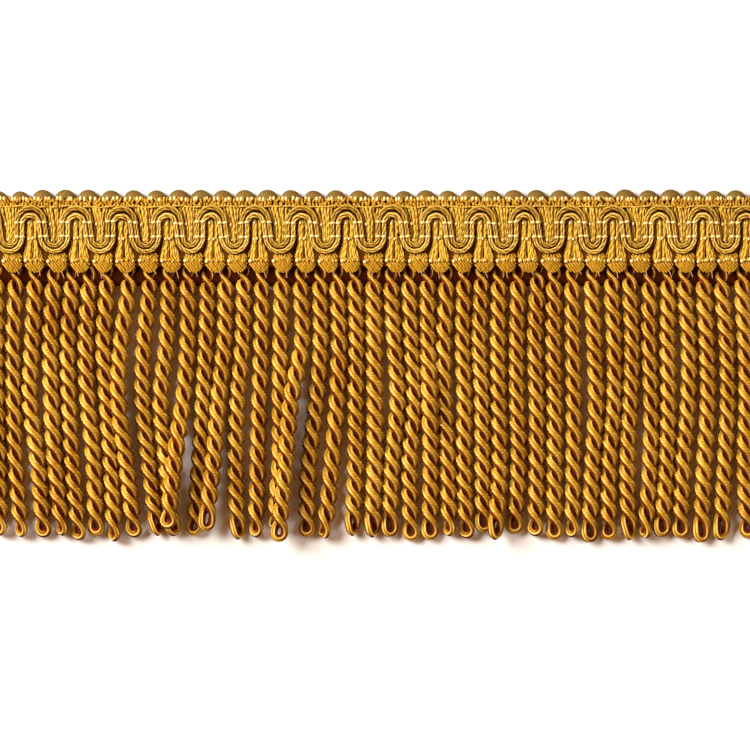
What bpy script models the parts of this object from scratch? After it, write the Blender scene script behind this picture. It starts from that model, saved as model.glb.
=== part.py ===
"""A cut length of bullion fringe on a woven scroll-gimp heading, lying flat on its back.

X runs along the fringe, +Y points to the heading's top edge and +Z is the face. The origin is
at the middle of the bounding box's base. Sizes are in millimetres up to the mesh data.
"""
import math
from typing import NamedTuple

import bmesh
import bpy
import numpy as np

MM = 0.001

# Driving sizes
LENGTH = 132.6
DEPTH = 60.0
TOP_EDGE = DEPTH / 2.0
SKIRT_EDGE = 15.6
CLEARANCE = 0.3

# Scroll and scallop repeat: a repeat holds one arch and one U-turn of the scroll
REPEAT = 7.595
FIRST_ARCH = -58.4
ARCH_SHIFTS = (0.0, 0.14, 0.27, 0.43, 0.31, 0.19, 0.48, 0.48, 0.65, 0.54, 0.43, 0.32, 0.58, 0.2,
               0.48, 0.24, 0.0)
COLUMNS_PER_REPEAT = 8
SCALLOP_ROUNDNESS = 0.7

# Heading: the step in its back leaves room for the strip that the strands grow from
STRIP_THICKNESS = 1.3
STRIP_FRONT = SKIRT_EDGE - 0.65
STRIP_BACK = STRIP_FRONT + 2.3
STEP_Y = STRIP_BACK + CLEARANCE
STEP_Z = STRIP_THICKNESS + CLEARANCE

# Scroll cords: two cords side by side along one meander of half circles and straight legs
TURN_RADIUS = REPEAT / 4.0
ARCH_CENTRE_Y = 23.55
U_CENTRE_Y = 21.15
CORD_OFFSET = 0.56
CORD_BASE_WIDTH = 0.8
CORD_CROWN_WIDTH = 0.5
CORD_HEIGHT = 0.8
CORD_BASE_Z = 2.2
STEPS_PER_TURN = 4

# Strands: two plies laid round each other, a quarter turn at each step. The last section
# droops and leans, so its lower edge reaches TIP_LEAN past its centre
STRAND_PITCH = 3.165
STRAND_HALF_WIDTH = 1.3
STRAND_HALF_THICKNESS = 0.7
QUARTER_TURN = 1.445
ROOT_INSET = 0.3
ROOT_SCALE = 0.8
ROOT_Z = STRIP_THICKNESS / 2.0
TIP_SCALE = 0.55
TIP_DROP = 0.3
TIP_LEAN = 0.1
SHORTEST_LAST_STEP = 0.8

OLD_GOLD = (0.52, 0.27, 0.035, 1.0)
PALE_GOLD = (0.66, 0.46, 0.10, 1.0)
OLIVE_GOLD = (0.48, 0.34, 0.07, 1.0)


class Row(NamedTuple):
    """One line of points along the heading, low in a valley and high on a lobe."""

    name: str
    lobes: str
    valley_y: float
    crest_y: float
    valley_z: float
    crest_z: float


HEADING_ROWS = (
    Row("bottom rim", "bottom", 16.45, SKIRT_EDGE, 1.85, 2.0),
    Row("bottom scallops", "bottom", 16.9, 16.6, 1.95, 2.4),
    Row("bottom stitches", "bottom", 17.6, 17.6, 1.7, 1.9),
    Row("bell skirts", "bottom", 19.0, 19.0, 1.5, 1.9),
    Row("bell waists", "bottom", 21.4, 21.4, 1.5, 1.75),
    Row("bell beads", "bottom", 24.0, 24.0, 1.5, 1.9),
    Row("fans", "bottom", 25.8, 25.8, 1.5, 1.8),
    Row("top stitches", "top", 27.8, 27.8, 1.5, 1.6),
    Row("top scallops", "top", 28.3, 29.0, 1.5, 1.95),
    Row("top rim", "top", 28.8, TOP_EDGE, 1.0, 1.1),
    Row("top back edge", "top", 28.8, TOP_EDGE, 0.0, 0.0),
    Row("foot of the step", "bottom", STEP_Y, STEP_Y, 0.0, 0.0),
    Row("head of the step", "bottom", STEP_Y, STEP_Y, STEP_Z, STEP_Z),
    Row("bottom back edge", "bottom", 16.45, SKIRT_EDGE, STEP_Z, STEP_Z),
)


class Strand(NamedTuple):
    """Sideways lie of a strand, off its even place, at five stations, and its length."""

    top: float
    upper: float
    middle: float
    lower: float
    tip: float
    length: float


STRANDS = (
    Strand(-1.0, -1.0, -0.9, -0.6, -0.4, 44.4),
    Strand(-0.9, -1.3, -1.2, -0.9, 0.1, 44.7),
    Strand(-0.8, -1.2, -1.6, -0.3, 0.7, 44.7),
    Strand(-0.8, -1.3, -1.1, -0.6, 0.8, 44.4),
    Strand(-0.9, -1.5, -1.3, -0.7, 0.4, 45.2),
    Strand(-1.1, -1.6, -1.3, -0.3, 0.1, 44.5),
    Strand(-1.2, -1.8, -1.2, -0.5, 0.1, 45.4),
    Strand(-0.7, -2.0, -2.4, -1.1, 0.3, 44.7),
    Strand(-0.3, -1.2, -1.5, -0.5, 1.1, 44.5),
    Strand(-0.2, -0.5, -1.6, -0.7, 0.6, 44.5),
    Strand(-0.1, -0.1, -0.8, -2.2, -3.5, 43.2),
    Strand(0.1, -0.2, -0.7, -1.3, -2.3, 44.5),
    Strand(-0.1, -0.2, -1.2, -2.0, -3.4, 43.7),
    Strand(-0.1, -0.3, -1.2, -1.5, -1.1, 45.1),
    Strand(-0.2, -0.3, -0.6, -0.9, -1.2, 44.7),
    Strand(0.0, -0.2, -0.3, -0.3, -1.2, 43.5),
    Strand(0.1, 0.3, -1.6, -2.5, -3.7, 45.5),
    Strand(0.2, 0.3, -0.4, -1.7, -2.1, 44.7),
    Strand(0.0, 0.3, -0.1, -0.9, -2.3, 44.9),
    Strand(-0.2, 0.1, -0.1, -0.1, -0.7, 44.5),
    Strand(-0.2, -0.1, 0.0, 0.0, -0.5, 44.7),
    Strand(-0.4, 0.1, 0.7, -0.2, -0.7, 44.7),
    Strand(-0.5, -0.1, 0.4, -0.4, -0.2, 45.4),
    Strand(-0.5, -0.5, -0.2, 0.0, -0.2, 45.2),
    Strand(-0.5, -0.9, -0.9, -0.3, 0.0, 44.5),
    Strand(-0.7, -0.9, -0.6, -0.7, -0.2, 44.9),
    Strand(-0.9, -1.3, -0.8, -0.7, -0.6, 43.9),
    Strand(-1.1, -1.2, -1.1, -0.9, -1.8, 45.1),
    Strand(-1.0, -1.2, -1.2, -0.9, -1.7, 44.2),
    Strand(-0.9, -1.3, -1.0, -1.0, -1.2, 44.5),
    Strand(-1.2, -1.3, -1.1, -1.1, -1.2, 45.2),
    Strand(-1.3, -1.2, -1.0, -1.1, -1.3, 44.7),
    Strand(-1.1, -0.7, -0.4, -1.0, -1.6, 45.6),
    Strand(-0.9, -0.5, -0.5, -1.3, -1.4, 45.2),
    Strand(-1.0, -0.6, -0.9, -1.4, -1.1, 45.2),
    Strand(-0.8, -0.9, -0.6, -0.7, -1.6, 44.9),
    Strand(-0.8, -0.9, -0.8, -1.0, -2.0, 44.7),
    Strand(-1.2, -0.5, -0.6, -1.4, -1.9, 44.9),
    Strand(-1.1, -0.6, -0.4, -1.0, -1.6, 45.6),
    Strand(-1.2, -0.4, -0.2, -0.7, -1.4, 45.2),
    Strand(-0.9, -0.4, -0.2, -0.5, 0.1, 44.9),
)


class Rise(NamedTuple):
    """Height a strand gains where it lies on its neighbour, at the last three stations."""

    strand: int
    middle: float
    lower: float
    tip: float


RISES = (
    Rise(7, 1.7, 0.8, 0.0),
    Rise(10, 0.0, 2.7, 2.7),
    Rise(12, 0.6, 1.5, 1.8),
    Rise(16, 2.2, 2.7, 2.6),
    Rise(23, 1.4, 0.0, 0.0),
    Rise(27, 0.0, 0.0, 1.7),
)

# Share of a strand's length at which each station lies, from the skirt's edge to the tip
STATIONS = (0.05, 0.26, 0.485, 0.715, 1.0)


def new_collection(name: str) -> bpy.types.Collection:
    """A collection linked to the scene."""
    collection = bpy.data.collections.new(name)
    bpy.context.scene.collection.children.link(collection)
    return collection


def yarn_material(name: str, colour: tuple[float, float, float, float]) -> bpy.types.Material:
    """Dyed rayon yarn: a soft, slightly glossy coloured surface."""
    material = bpy.data.materials.new(name)
    material.use_nodes = True
    shader = material.node_tree.nodes["Principled BSDF"]
    shader.inputs["Base Color"].default_value = colour
    shader.inputs["Roughness"].default_value = 0.55
    shader.inputs["Metallic"].default_value = 0.0
    return material


def arch_x(repeat: np.ndarray) -> np.ndarray:
    """X of a place counted in repeats from the first arch, with the weave's unevenness."""
    shift = np.interp(repeat, np.arange(len(ARCH_SHIFTS)), ARCH_SHIFTS)
    return FIRST_ARCH + REPEAT * repeat + shift


def lobe(repeat: np.ndarray, first_crest: float) -> np.ndarray:
    """One on the crest of each scallop and zero between them, two scallops a repeat."""
    wave = np.abs(np.cos(2.0 * math.pi * (repeat - first_crest)))
    return wave ** SCALLOP_ROUNDNESS


def heading_columns() -> tuple[np.ndarray, np.ndarray]:
    """X and place in the repeat of each section of the heading, end to end."""
    half = LENGTH / 2.0
    last = len(ARCH_SHIFTS) - 1
    inner = np.arange(-COLUMNS_PER_REPEAT + 1, (last + 1) * COLUMNS_PER_REPEAT)
    inner = inner / COLUMNS_PER_REPEAT
    inner = inner[np.abs(arch_x(inner)) < half - CLEARANCE]
    start = (-half - FIRST_ARCH - ARCH_SHIFTS[0]) / REPEAT
    end = (half - FIRST_ARCH - ARCH_SHIFTS[-1]) / REPEAT
    repeats = np.concatenate(([start], inner, [end]))
    return arch_x(repeats), repeats


def build_heading(collection: bpy.types.Collection) -> None:
    """The woven ground: a loft of sections whose edges and face swell at each scallop."""
    xs, repeats = heading_columns()
    crests = {"bottom": lobe(repeats, 0.0), "top": lobe(repeats, 0.25)}
    mesh_data = bmesh.new()
    rings = []
    for column, x in enumerate(xs):
        ring = []
        for row in HEADING_ROWS:
            share = crests[row.lobes][column]
            y = row.valley_y + (row.crest_y - row.valley_y) * share
            z = row.valley_z + (row.crest_z - row.valley_z) * share
            ring.append(mesh_data.verts.new((x * MM, y * MM, z * MM)))
        rings.append(ring)
    for left, right in zip(rings, rings[1:]):
        for near, far in zip(range(len(left)), range(1, len(left) + 1)):
            far %= len(left)
            mesh_data.faces.new((left[near], right[near], right[far], left[far]))
    mesh_data.faces.new(rings[0])
    mesh_data.faces.new(rings[-1][::-1])
    bmesh.ops.recalc_face_normals(mesh_data, faces=mesh_data.faces)
    bmesh.ops.triangulate(mesh_data, faces=mesh_data.faces)
    mesh = bpy.data.meshes.new("heading_braid")
    mesh_data.to_mesh(mesh)
    mesh_data.free()
    heading = bpy.data.objects.new("heading_braid", mesh)
    heading.data.materials.append(yarn_material("olive_gold_weave", OLIVE_GOLD))
    collection.objects.link(heading)


def section_curve(name: str, points: list, collection: bpy.types.Collection) -> bpy.types.Object:
    """A closed flat outline that another curve carries along its path."""
    curve = bpy.data.curves.new(name, "CURVE")
    curve.dimensions = "2D"
    spline = curve.splines.new("POLY")
    spline.points.add(len(points) - 1)
    for point, (x, y) in zip(spline.points, points):
        point.co = (x * MM, y * MM, 0.0, 1.0)
    spline.use_cyclic_u = True
    section = bpy.data.objects.new(name, curve)
    section.hide_render = True
    section.display_type = "WIRE"
    collection.objects.link(section)
    return section


def carried_mesh(name: str, path: list, section: bpy.types.Object) -> bpy.types.Mesh:
    """The closed mesh of a section carried along a path of (point, scale, tilt) in mm."""
    curve = bpy.data.curves.new(name, "CURVE")
    curve.dimensions = "3D"
    curve.twist_mode = "Z_UP"
    curve.bevel_mode = "OBJECT"
    curve.bevel_object = section
    curve.use_fill_caps = True
    spline = curve.splines.new("POLY")
    spline.points.add(len(path) - 1)
    for point, ((x, y, z), scale, tilt) in zip(spline.points, path):
        point.co = (x * MM, y * MM, z * MM, 1.0)
        point.radius = scale
        point.tilt = tilt
    carrier = bpy.data.objects.new(name, curve)
    bpy.context.scene.collection.objects.link(carrier)
    evaluated = carrier.evaluated_get(bpy.context.evaluated_depsgraph_get())
    mesh = bpy.data.meshes.new_from_object(evaluated)
    bpy.data.objects.remove(carrier)
    mesh_data = bmesh.new()
    mesh_data.from_mesh(mesh)
    bmesh.ops.remove_doubles(mesh_data, verts=mesh_data.verts, dist=0.01 * MM)
    bmesh.ops.triangulate(mesh_data, faces=mesh_data.faces, quad_method="SHORT_EDGE")
    bmesh.ops.recalc_face_normals(mesh_data, faces=mesh_data.faces)
    mesh_data.to_mesh(mesh)
    mesh_data.free()
    return mesh


def turn_points(centre_x: float, centre_y: float, radius: float, side: int) -> list:
    """Points over an arch (side 1) or under a U-turn (side -1), from left to right."""
    angles = [math.pi * (1.0 - step / STEPS_PER_TURN) for step in range(STEPS_PER_TURN + 1)]
    return [(centre_x + radius * math.cos(angle), centre_y + side * radius * math.sin(angle))
            for angle in angles]


def cord_path(offset: float) -> list:
    """Centre line of one scroll cord, which lies off the pair's line by the offset."""
    points = []
    half_arch = STEPS_PER_TURN // 2
    for number in range(-1, len(ARCH_SHIFTS)):
        arch = turn_points(float(arch_x(number)), ARCH_CENTRE_Y, TURN_RADIUS + offset, 1)
        points.extend(arch[half_arch:] if number < 0 else arch)
        if number < len(ARCH_SHIFTS) - 1:
            middle = float(arch_x(number) + arch_x(number + 1)) / 2.0
            points.extend(turn_points(middle, U_CENTRE_Y, TURN_RADIUS - offset, -1))
    points.append((points[-1][0], U_CENTRE_Y))
    height = CORD_BASE_Z + CORD_HEIGHT / 2.0
    return [((x, y, height), 1.0, 0.0) for x, y in points]


def build_scroll_cords(collection: bpy.types.Collection, guides: bpy.types.Collection) -> None:
    """The upper and lower cords, which trade the outer place at each arch and U-turn."""
    foot = CORD_BASE_WIDTH / 2.0
    crown = CORD_CROWN_WIDTH / 2.0
    rise = CORD_HEIGHT / 2.0
    outline = [(-foot, -rise), (foot, -rise), (crown, rise), (-crown, rise)]
    section = section_curve("cord_section", outline, guides)
    material = yarn_material("pale_gold_cord", PALE_GOLD)
    for name, offset in (("scroll_cord_upper", CORD_OFFSET), ("scroll_cord_lower", -CORD_OFFSET)):
        mesh = carried_mesh(name, cord_path(offset), section)
        cord = bpy.data.objects.new(name, mesh)
        mesh.materials.append(material)
        collection.objects.link(cord)


def smooth_value(share: float, values: list) -> float:
    """Value at a share of the length, on a cubic curve through the stations' values."""
    places = (0.0,) + STATIONS
    values = [values[0]] + values
    slopes = list(np.gradient(values, places))
    span = min(int(np.searchsorted(places, share, side="right")) - 1, len(places) - 2)
    width = places[span + 1] - places[span]
    u = (share - places[span]) / width
    start_weight = 2.0 * u ** 3 - 3.0 * u ** 2 + 1.0
    start_slope_weight = (u ** 3 - 2.0 * u ** 2 + u) * width
    end_slope_weight = (u ** 3 - u ** 2) * width
    return (start_weight * values[span] + (1.0 - start_weight) * values[span + 1]
            + start_slope_weight * slopes[span] + end_slope_weight * slopes[span + 1])


def strand_path(number: int) -> list:
    """Path of one strand: from inside the strip, over the floor to its looped end."""
    strand = STRANDS[number]
    place = (number - (len(STRANDS) - 1) / 2.0) * STRAND_PITCH
    sideways = [strand.top, strand.upper, strand.middle, strand.lower, strand.tip]
    rise = next((row for row in RISES if row.strand == number), Rise(number, 0.0, 0.0, 0.0))
    heights = [0.0, 0.0, rise.middle, rise.lower, rise.tip]
    tip_y = SKIRT_EDGE - strand.length + TIP_LEAN
    first_y = STRIP_FRONT - QUARTER_TURN * 0.7
    steps = int((first_y - tip_y - SHORTEST_LAST_STEP) / QUARTER_TURN)
    ys = [first_y - QUARTER_TURN * step for step in range(steps + 1)] + [tip_y]
    path = [((place + strand.top, STRIP_FRONT + ROOT_INSET, ROOT_Z), ROOT_SCALE, 0.0)]
    for step, y in enumerate(ys, start=1):
        share = (SKIRT_EDGE - y) / strand.length
        x = place + smooth_value(share, sideways)
        z = STRAND_HALF_WIDTH + max(0.0, smooth_value(share, heights))
        path.append(((x, y, z), 1.0, -step * math.pi / 2.0))
    (x, y, z), _, tilt = path[-1]
    path[-1] = ((x, y, z - TIP_DROP), TIP_SCALE, tilt)
    return path


def build_skirt(collection: bpy.types.Collection, guides: bpy.types.Collection) -> None:
    """The strands, united with the strip that holds their roots."""
    outline = [(-STRAND_HALF_WIDTH, 0.0), (0.0, -STRAND_HALF_THICKNESS),
               (STRAND_HALF_WIDTH, 0.0), (0.0, STRAND_HALF_THICKNESS)]
    section = section_curve("strand_section", outline, guides)
    strands_data = bmesh.new()
    for number in range(len(STRANDS)):
        strands_data.from_mesh(carried_mesh(f"strand_{number}", strand_path(number), section))
    strands_mesh = bpy.data.meshes.new("strands")
    strands_data.to_mesh(strands_mesh)
    strands_data.free()
    strands = bpy.data.objects.new("strands", strands_mesh)
    strands.hide_render = True
    strands.display_type = "WIRE"
    guides.objects.link(strands)

    bpy.ops.mesh.primitive_cube_add(size=1.0)
    strip = bpy.context.object
    strip.name = "bullion_skirt"
    strip.data.name = "bullion_skirt"
    size = (LENGTH, STRIP_BACK - STRIP_FRONT, STRIP_THICKNESS)
    strip.dimensions = [side * MM for side in size]
    strip.location = (0.0, (STRIP_BACK + STRIP_FRONT) / 2.0 * MM, STRIP_THICKNESS / 2.0 * MM)
    bpy.ops.object.transform_apply(location=True, rotation=False, scale=True)
    for owner in list(strip.users_collection):
        owner.objects.unlink(strip)
    collection.objects.link(strip)
    union = strip.modifiers.new("roots fused in the strip", "BOOLEAN")
    union.operation = "UNION"
    union.object = strands
    strip.data.materials.append(yarn_material("old_gold_yarn", OLD_GOLD))


def main() -> None:
    """Clear the scene and build the four pieces."""
    for item in list(bpy.data.objects):
        bpy.data.objects.remove(item)
    pieces = new_collection("bullion_fringe")
    guides = new_collection("guides")
    build_heading(pieces)
    build_scroll_cords(pieces, guides)
    build_skirt(pieces, guides)


main()
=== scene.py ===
"""Dressed model of a cut length of bullion fringe on a woven scroll gimp heading.

The fringe lies on its back and is seen from straight above. X runs along it, +Y points to the
heading's top edge and +Z out of its face. Sizes are in millimetres until a mesh is made.
"""
import logging
import math
from dataclasses import dataclass
from enum import Enum
from typing import NamedTuple

import bpy
import numpy as np
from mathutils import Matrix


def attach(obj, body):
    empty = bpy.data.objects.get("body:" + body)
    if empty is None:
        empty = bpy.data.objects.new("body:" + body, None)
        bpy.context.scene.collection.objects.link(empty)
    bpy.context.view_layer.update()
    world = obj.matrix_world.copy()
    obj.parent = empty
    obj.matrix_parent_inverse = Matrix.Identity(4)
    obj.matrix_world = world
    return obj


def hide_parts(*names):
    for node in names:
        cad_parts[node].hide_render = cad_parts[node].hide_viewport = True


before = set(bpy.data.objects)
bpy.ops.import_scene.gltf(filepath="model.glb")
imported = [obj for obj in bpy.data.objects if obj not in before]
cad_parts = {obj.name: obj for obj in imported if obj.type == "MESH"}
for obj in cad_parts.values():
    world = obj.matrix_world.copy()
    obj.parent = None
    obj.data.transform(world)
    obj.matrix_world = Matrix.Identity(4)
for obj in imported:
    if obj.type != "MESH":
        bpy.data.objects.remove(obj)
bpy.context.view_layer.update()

MM = 0.001
BODY = "root"
SEED = 23
UP = np.array((0.0, 0.0, 1.0))
FIBRE_MAP = "fibre"
CREST_NAME = "crest"
HEADING_NODE = "heading_braid"
SKIRT_NODE = "bullion_skirt"
# LAY_SHADE is painted shade: a lay's yarns lighter on their tops and darker between them.
LAY_SHADE = 0.22  # crest that a lay gains on a yarn and loses between two
END_AREA = 0.01  # square of the radius left at a closed end
PATTERN_SLIDE = 3.0  # millimetres by which a yarn's pattern may start further along
YARN_SIDES = 6  # sides of a fine yarn
YARN_END = 0.06  # share of a yarn's length that each round end takes

LOG = logging.getLogger("bullion_fringe")

Colour = tuple[float, float, float]
Numbers = np.ndarray | float


class Slot(Enum):
    """The material slots."""

    HEADING = "heading_weave"
    CORD = "scroll_cord"
    BULLION = "bullion_yarn"


class Cord(Enum):
    """The two cords of the scroll, by the side of the pair's line that each takes over an arch."""

    UPPER = 1
    LOWER = -1


# The weave's numbers

@dataclass(frozen=True)
class Weave:
    """Where the scroll's arches and the heading's edges lie.

    Attributes:
        length: Cut length of the fringe.
        repeat: Distance from one arch of the scroll to the next.
        first_arch: X of the first arch that is whole.
        shifts: How far each arch lies off its even place.
        spare_arches: Repeats looked at past each end of the row of arches.
        skirt_edge: Height of the heading's lower edge, from which strands are measured.
    """

    length: float = 132.6
    repeat: float = 7.595
    first_arch: float = -58.4
    shifts: tuple[float, ...] = (0.0, 0.14, 0.27, 0.43, 0.31, 0.19, 0.48, 0.48, 0.65, 0.54, 0.43,
                                 0.32, 0.58, 0.2, 0.48, 0.24, 0.0)
    spare_arches: int = 2
    skirt_edge: float = 15.6

    @property
    def half(self) -> float:
        """Half of the cut length."""
        return self.length / 2.0

    def arch_x(self, place: np.ndarray) -> np.ndarray:
        """X of a place counted in repeats from the first arch, with the weave's unevenness.

        Args:
            place: Whole at an arch, half at a U-turn.

        Returns:
            First arch plus repeat times place plus the shift between the two nearest arches.
        """
        shift = np.interp(place, np.arange(len(self.shifts)), self.shifts)
        return self.first_arch + self.repeat * np.asarray(place, float) + shift

    def places(self, margin: float, *offsets: float) -> np.ndarray:
        """Every place at some offsets from the arches that lies within the cut length.

        Args:
            margin: Distance that stays free at each cut end.
            offsets: Shares of a repeat from an arch.

        Returns:
            The places, from left to right.
        """
        arches = np.arange(-self.spare_arches, len(self.shifts) + self.spare_arches)
        candidates = np.sort(np.add.outer(arches, offsets).ravel())
        return candidates[np.abs(self.arch_x(candidates)) < self.half - margin]


# Shapes

def unit(vectors: np.ndarray) -> np.ndarray:
    """Vectors divided by their lengths along the last axis."""
    return vectors / np.linalg.norm(vectors, axis=-1, keepdims=True)


def points_of(x: Numbers, y: Numbers, z: Numbers) -> np.ndarray:
    """Points from arrays of coordinates whose shapes fit each other."""
    return np.stack(np.broadcast_arrays(x, y, z), axis=-1)


def section_angles(sides: int) -> np.ndarray:
    """Angle of each point of a section, the first at its bottom, shape (sides,)."""
    return -math.pi / 2.0 + math.tau * np.arange(sides) / sides


def smooth_step(value: np.ndarray, start: float, end: float) -> np.ndarray:
    """Zero before the start, one after the end, and 3t^2 - 2t^3 between them."""
    t = np.clip((value - start) / (end - start), 0.0, 1.0)
    return t * t * (3.0 - 2.0 * t)


def hermite(places: np.ndarray, values: np.ndarray, at: np.ndarray) -> np.ndarray:
    """Cubic curves through values at fixed places, with slopes from central differences.

    Args:
        places: Increasing places, shape (stations,).
        values: One row for each curve, shape (curves, stations).
        at: Places asked for, shape (curves, points).

    Returns:
        Values in the shape of at.
    """
    slopes = np.gradient(values, places, axis=1)
    span = np.clip(np.searchsorted(places, at, side="right") - 1, 0, len(places) - 2)
    width = places[span + 1] - places[span]
    u = (at - places[span]) / width
    start, end = (np.take_along_axis(values, span + step, axis=1) for step in (0, 1))
    leave, arrive = (np.take_along_axis(slopes, span + step, axis=1) for step in (0, 1))
    start_weight = 2.0 * u ** 3 - 3.0 * u ** 2 + 1.0
    return (start_weight * start + (1.0 - start_weight) * end
            + (u ** 3 - 2.0 * u ** 2 + u) * width * leave + (u ** 3 - u ** 2) * width * arrive)


class Lay(NamedTuple):
    """How the yarns of a cord lie round it."""

    yarns: int
    relief: float
    pitch: float


@dataclass
class Forms:
    """Closed forms of one kind: each is a row of rings, joined and closed at both ends.

    Attributes:
        rings: Points in millimetres, shape (forms, rings, sides, 3).
        along: Length along the form at each ring, shape (forms, rings).
        crest: Painted light and shade, one on the outside of the weave and zero in its
        hollows, shape (forms, rings, sides).
    """

    rings: np.ndarray
    along: np.ndarray
    crest: np.ndarray

    def quads(self) -> np.ndarray:
        """Faces between neighbouring rings.

        Returns:
            Their corner numbers, shape (faces, 4).
        """
        forms, rings, sides, _ = self.rings.shape
        number = np.arange(forms * rings * sides).reshape(forms, rings, sides)
        beside = np.roll(number, -1, axis=2)
        corners = (number[:, :-1], number[:, 1:], beside[:, 1:], beside[:, :-1])
        return np.stack(corners, axis=-1).reshape(-1, 4)

    def caps(self) -> np.ndarray:
        """The two end faces of each form.

        Returns:
            Their corner numbers, shape (2 forms, sides).
        """
        forms, rings, sides, _ = self.rings.shape
        number = np.arange(forms * rings * sides).reshape(forms, rings, sides)
        return np.concatenate((number[:, 0], number[:, -1, ::-1]))

    def slide(self, random: np.random.Generator) -> "Forms":
        """Start the pattern of each form at a place of its own, up to PATTERN_SLIDE along it."""
        self.along = self.along + random.uniform(0.0, PATTERN_SLIDE, (len(self.along), 1))
        return self

    def fibre_uv(self) -> np.ndarray:
        """UV of every face corner: millimetres along the form and share of the way round it.

        Returns:
            The UVs in the order of quads and then caps, shape (corners, 2).
        """
        forms, rings, sides, _ = self.rings.shape
        length = np.broadcast_to(self.along[:, :, None], (forms, rings, sides))
        share = np.broadcast_to(np.arange(sides) / sides, (forms, rings, sides))
        here, beside = (np.stack((length, share + step / sides), axis=-1) for step in (0.0, 1.0))
        corners = (here[:, :-1], here[:, 1:], beside[:, 1:], beside[:, :-1])
        side_uv = np.stack(corners, axis=-2).reshape(-1, 2)
        ends = np.concatenate((here[:, 0], here[:, -1, ::-1]))
        return np.concatenate((side_uv, ends.reshape(-1, 2)))


def carry(path: np.ndarray, radius: Numbers, sides: int,
          reference: np.ndarray = UP, lay: Lay | None = None, flat: float = 1.0) -> Forms:
    """Round sections carried along paths.

    A point is the path's point plus the radius times (cos a * side + flat * sin a * up), where
    side is the path's direction crossed with the reference. The radius swells and shrinks by
    1 + relief * cos(yarns * a + 2 pi * length / pitch) where a lay is given.

    Args:
        path: Points of each path, shape (forms, rings, 3).
        radius: One radius, or one for each ring.
        sides: Points in a section.
        reference: Direction that the sections' up leans to.
        lay: Yarns round the section.
        flat: Height of a section against its width.

    Returns:
        The forms, with crest, painted light and shade, from the height of each point in its
        section.
    """
    heading = unit(np.gradient(path, axis=1))
    side = unit(np.cross(heading, reference))
    up = np.cross(side, heading)
    steps = np.linalg.norm(np.diff(path, axis=1), axis=2)
    along = np.concatenate((np.zeros((len(path), 1)), np.cumsum(steps, axis=1)), axis=1)
    angle = section_angles(sides)
    swell = np.ones(along.shape + (sides,))
    if lay is not None:
        turn = lay.yarns * angle + math.tau * along[..., None] / lay.pitch
        swell = 1.0 + lay.relief * np.cos(turn)
    spokes = (np.cos(angle)[:, None] * side[:, :, None]
              + flat * np.sin(angle)[:, None] * up[:, :, None])
    size = np.broadcast_to(radius, along.shape)[..., None] * swell
    rings = path[:, :, None] + size[..., None] * spokes
    # Painted light and shade: each section lighter on its top and darker underneath, and with a
    # lay darker between its yarns.
    crest = 0.5 + 0.5 * np.broadcast_to(np.sin(angle), size.shape)
    if lay is not None:
        crest = crest + LAY_SHADE * (swell - 1.0) / lay.relief
    return Forms(rings, along, crest)


def round_ends(rings: int, share: float) -> np.ndarray:
    """Factor on a tube's radius that closes both its ends in a half circle.

    Args:
        rings: Rings along the tube.
        share: Part of the tube's length that each end takes.

    Returns:
        The square root of 1 - (1 - d / share)^2 within the ends, but at least that of
        END_AREA, and one between them.
    """
    place = np.linspace(0.0, 1.0, rings)
    depth = np.minimum(place, 1.0 - place) / share
    return np.sqrt(np.clip(1.0 - (1.0 - np.minimum(depth, 1.0)) ** 2, END_AREA, 1.0))


def beads(centres: np.ndarray, size: tuple[float, float, float], rings: int = 6,
          sides: int = 8) -> Forms:
    """Small ellipsoids, each a stack of rings from near its bottom to near its top.

    Args:
        centres: Shape (beads, 3).
        size: Half width, half length and half height.
        rings: Rings in a bead.
        sides: Points in a ring.

    Returns:
        The forms, each ring at a polar angle p with radius sin p and height -cos p.
    """
    polar = np.linspace(0.06, 0.94, rings) * math.pi
    angle = math.tau * np.arange(sides) / sides
    ring = points_of(np.sin(polar)[:, None] * np.cos(angle), -np.sin(polar)[:, None]
                     * np.sin(angle), -np.cos(polar)[:, None])
    placed = centres[:, None, None] + ring * np.array(size)
    along = np.broadcast_to(-np.cos(polar) * size[2], (len(centres), rings))
    # Painted light: each bead lighter towards its top and darker underneath.
    crest = np.broadcast_to(0.75 - 0.25 * np.cos(polar)[:, None], placed.shape[:3])
    return Forms(placed, along, crest)


# Finishes

class NodeBench:
    """Adds nodes to a material and joins them."""

    def __init__(self, name: str) -> None:
        """Make the material with its shader."""
        self.material = bpy.data.materials.new(name)
        self.material.use_nodes = True
        self.tree = self.material.node_tree
        self.shader = self.tree.nodes["Principled BSDF"]

    def node(self, kind: str, **inputs: object) -> bpy.types.Node:
        """Add one node.

        Args:
            kind: Node type without its ShaderNode prefix.
            inputs: Values or sockets for its inputs, by the input's name with _ for a space.

        Returns:
            The node.
        """
        made = self.tree.nodes.new("ShaderNode" + kind)
        for name, value in inputs.items():
            self.put(made.inputs[name.replace("_", " ")], value)
        return made

    def put(self, socket: bpy.types.NodeSocket, value: object) -> None:
        """Set an input, or link it where the value is another node's output.

        Args:
            socket: The input.
            value: A number, a colour or an output.
        """
        if isinstance(value, bpy.types.NodeSocket):
            self.tree.links.new(value, socket)
        else:
            socket.default_value = value

    def sum_of(self, operation: str, *values: object) -> bpy.types.NodeSocket:
        """Add a Math node.

        Args:
            operation: Name of the node's operation.
            values: Up to three numbers or outputs.

        Returns:
            The node's output.
        """
        made = self.tree.nodes.new("ShaderNodeMath")
        made.operation = operation
        for socket, value in zip(made.inputs, values):
            self.put(socket, value)
        return made.outputs["Value"]


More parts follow.
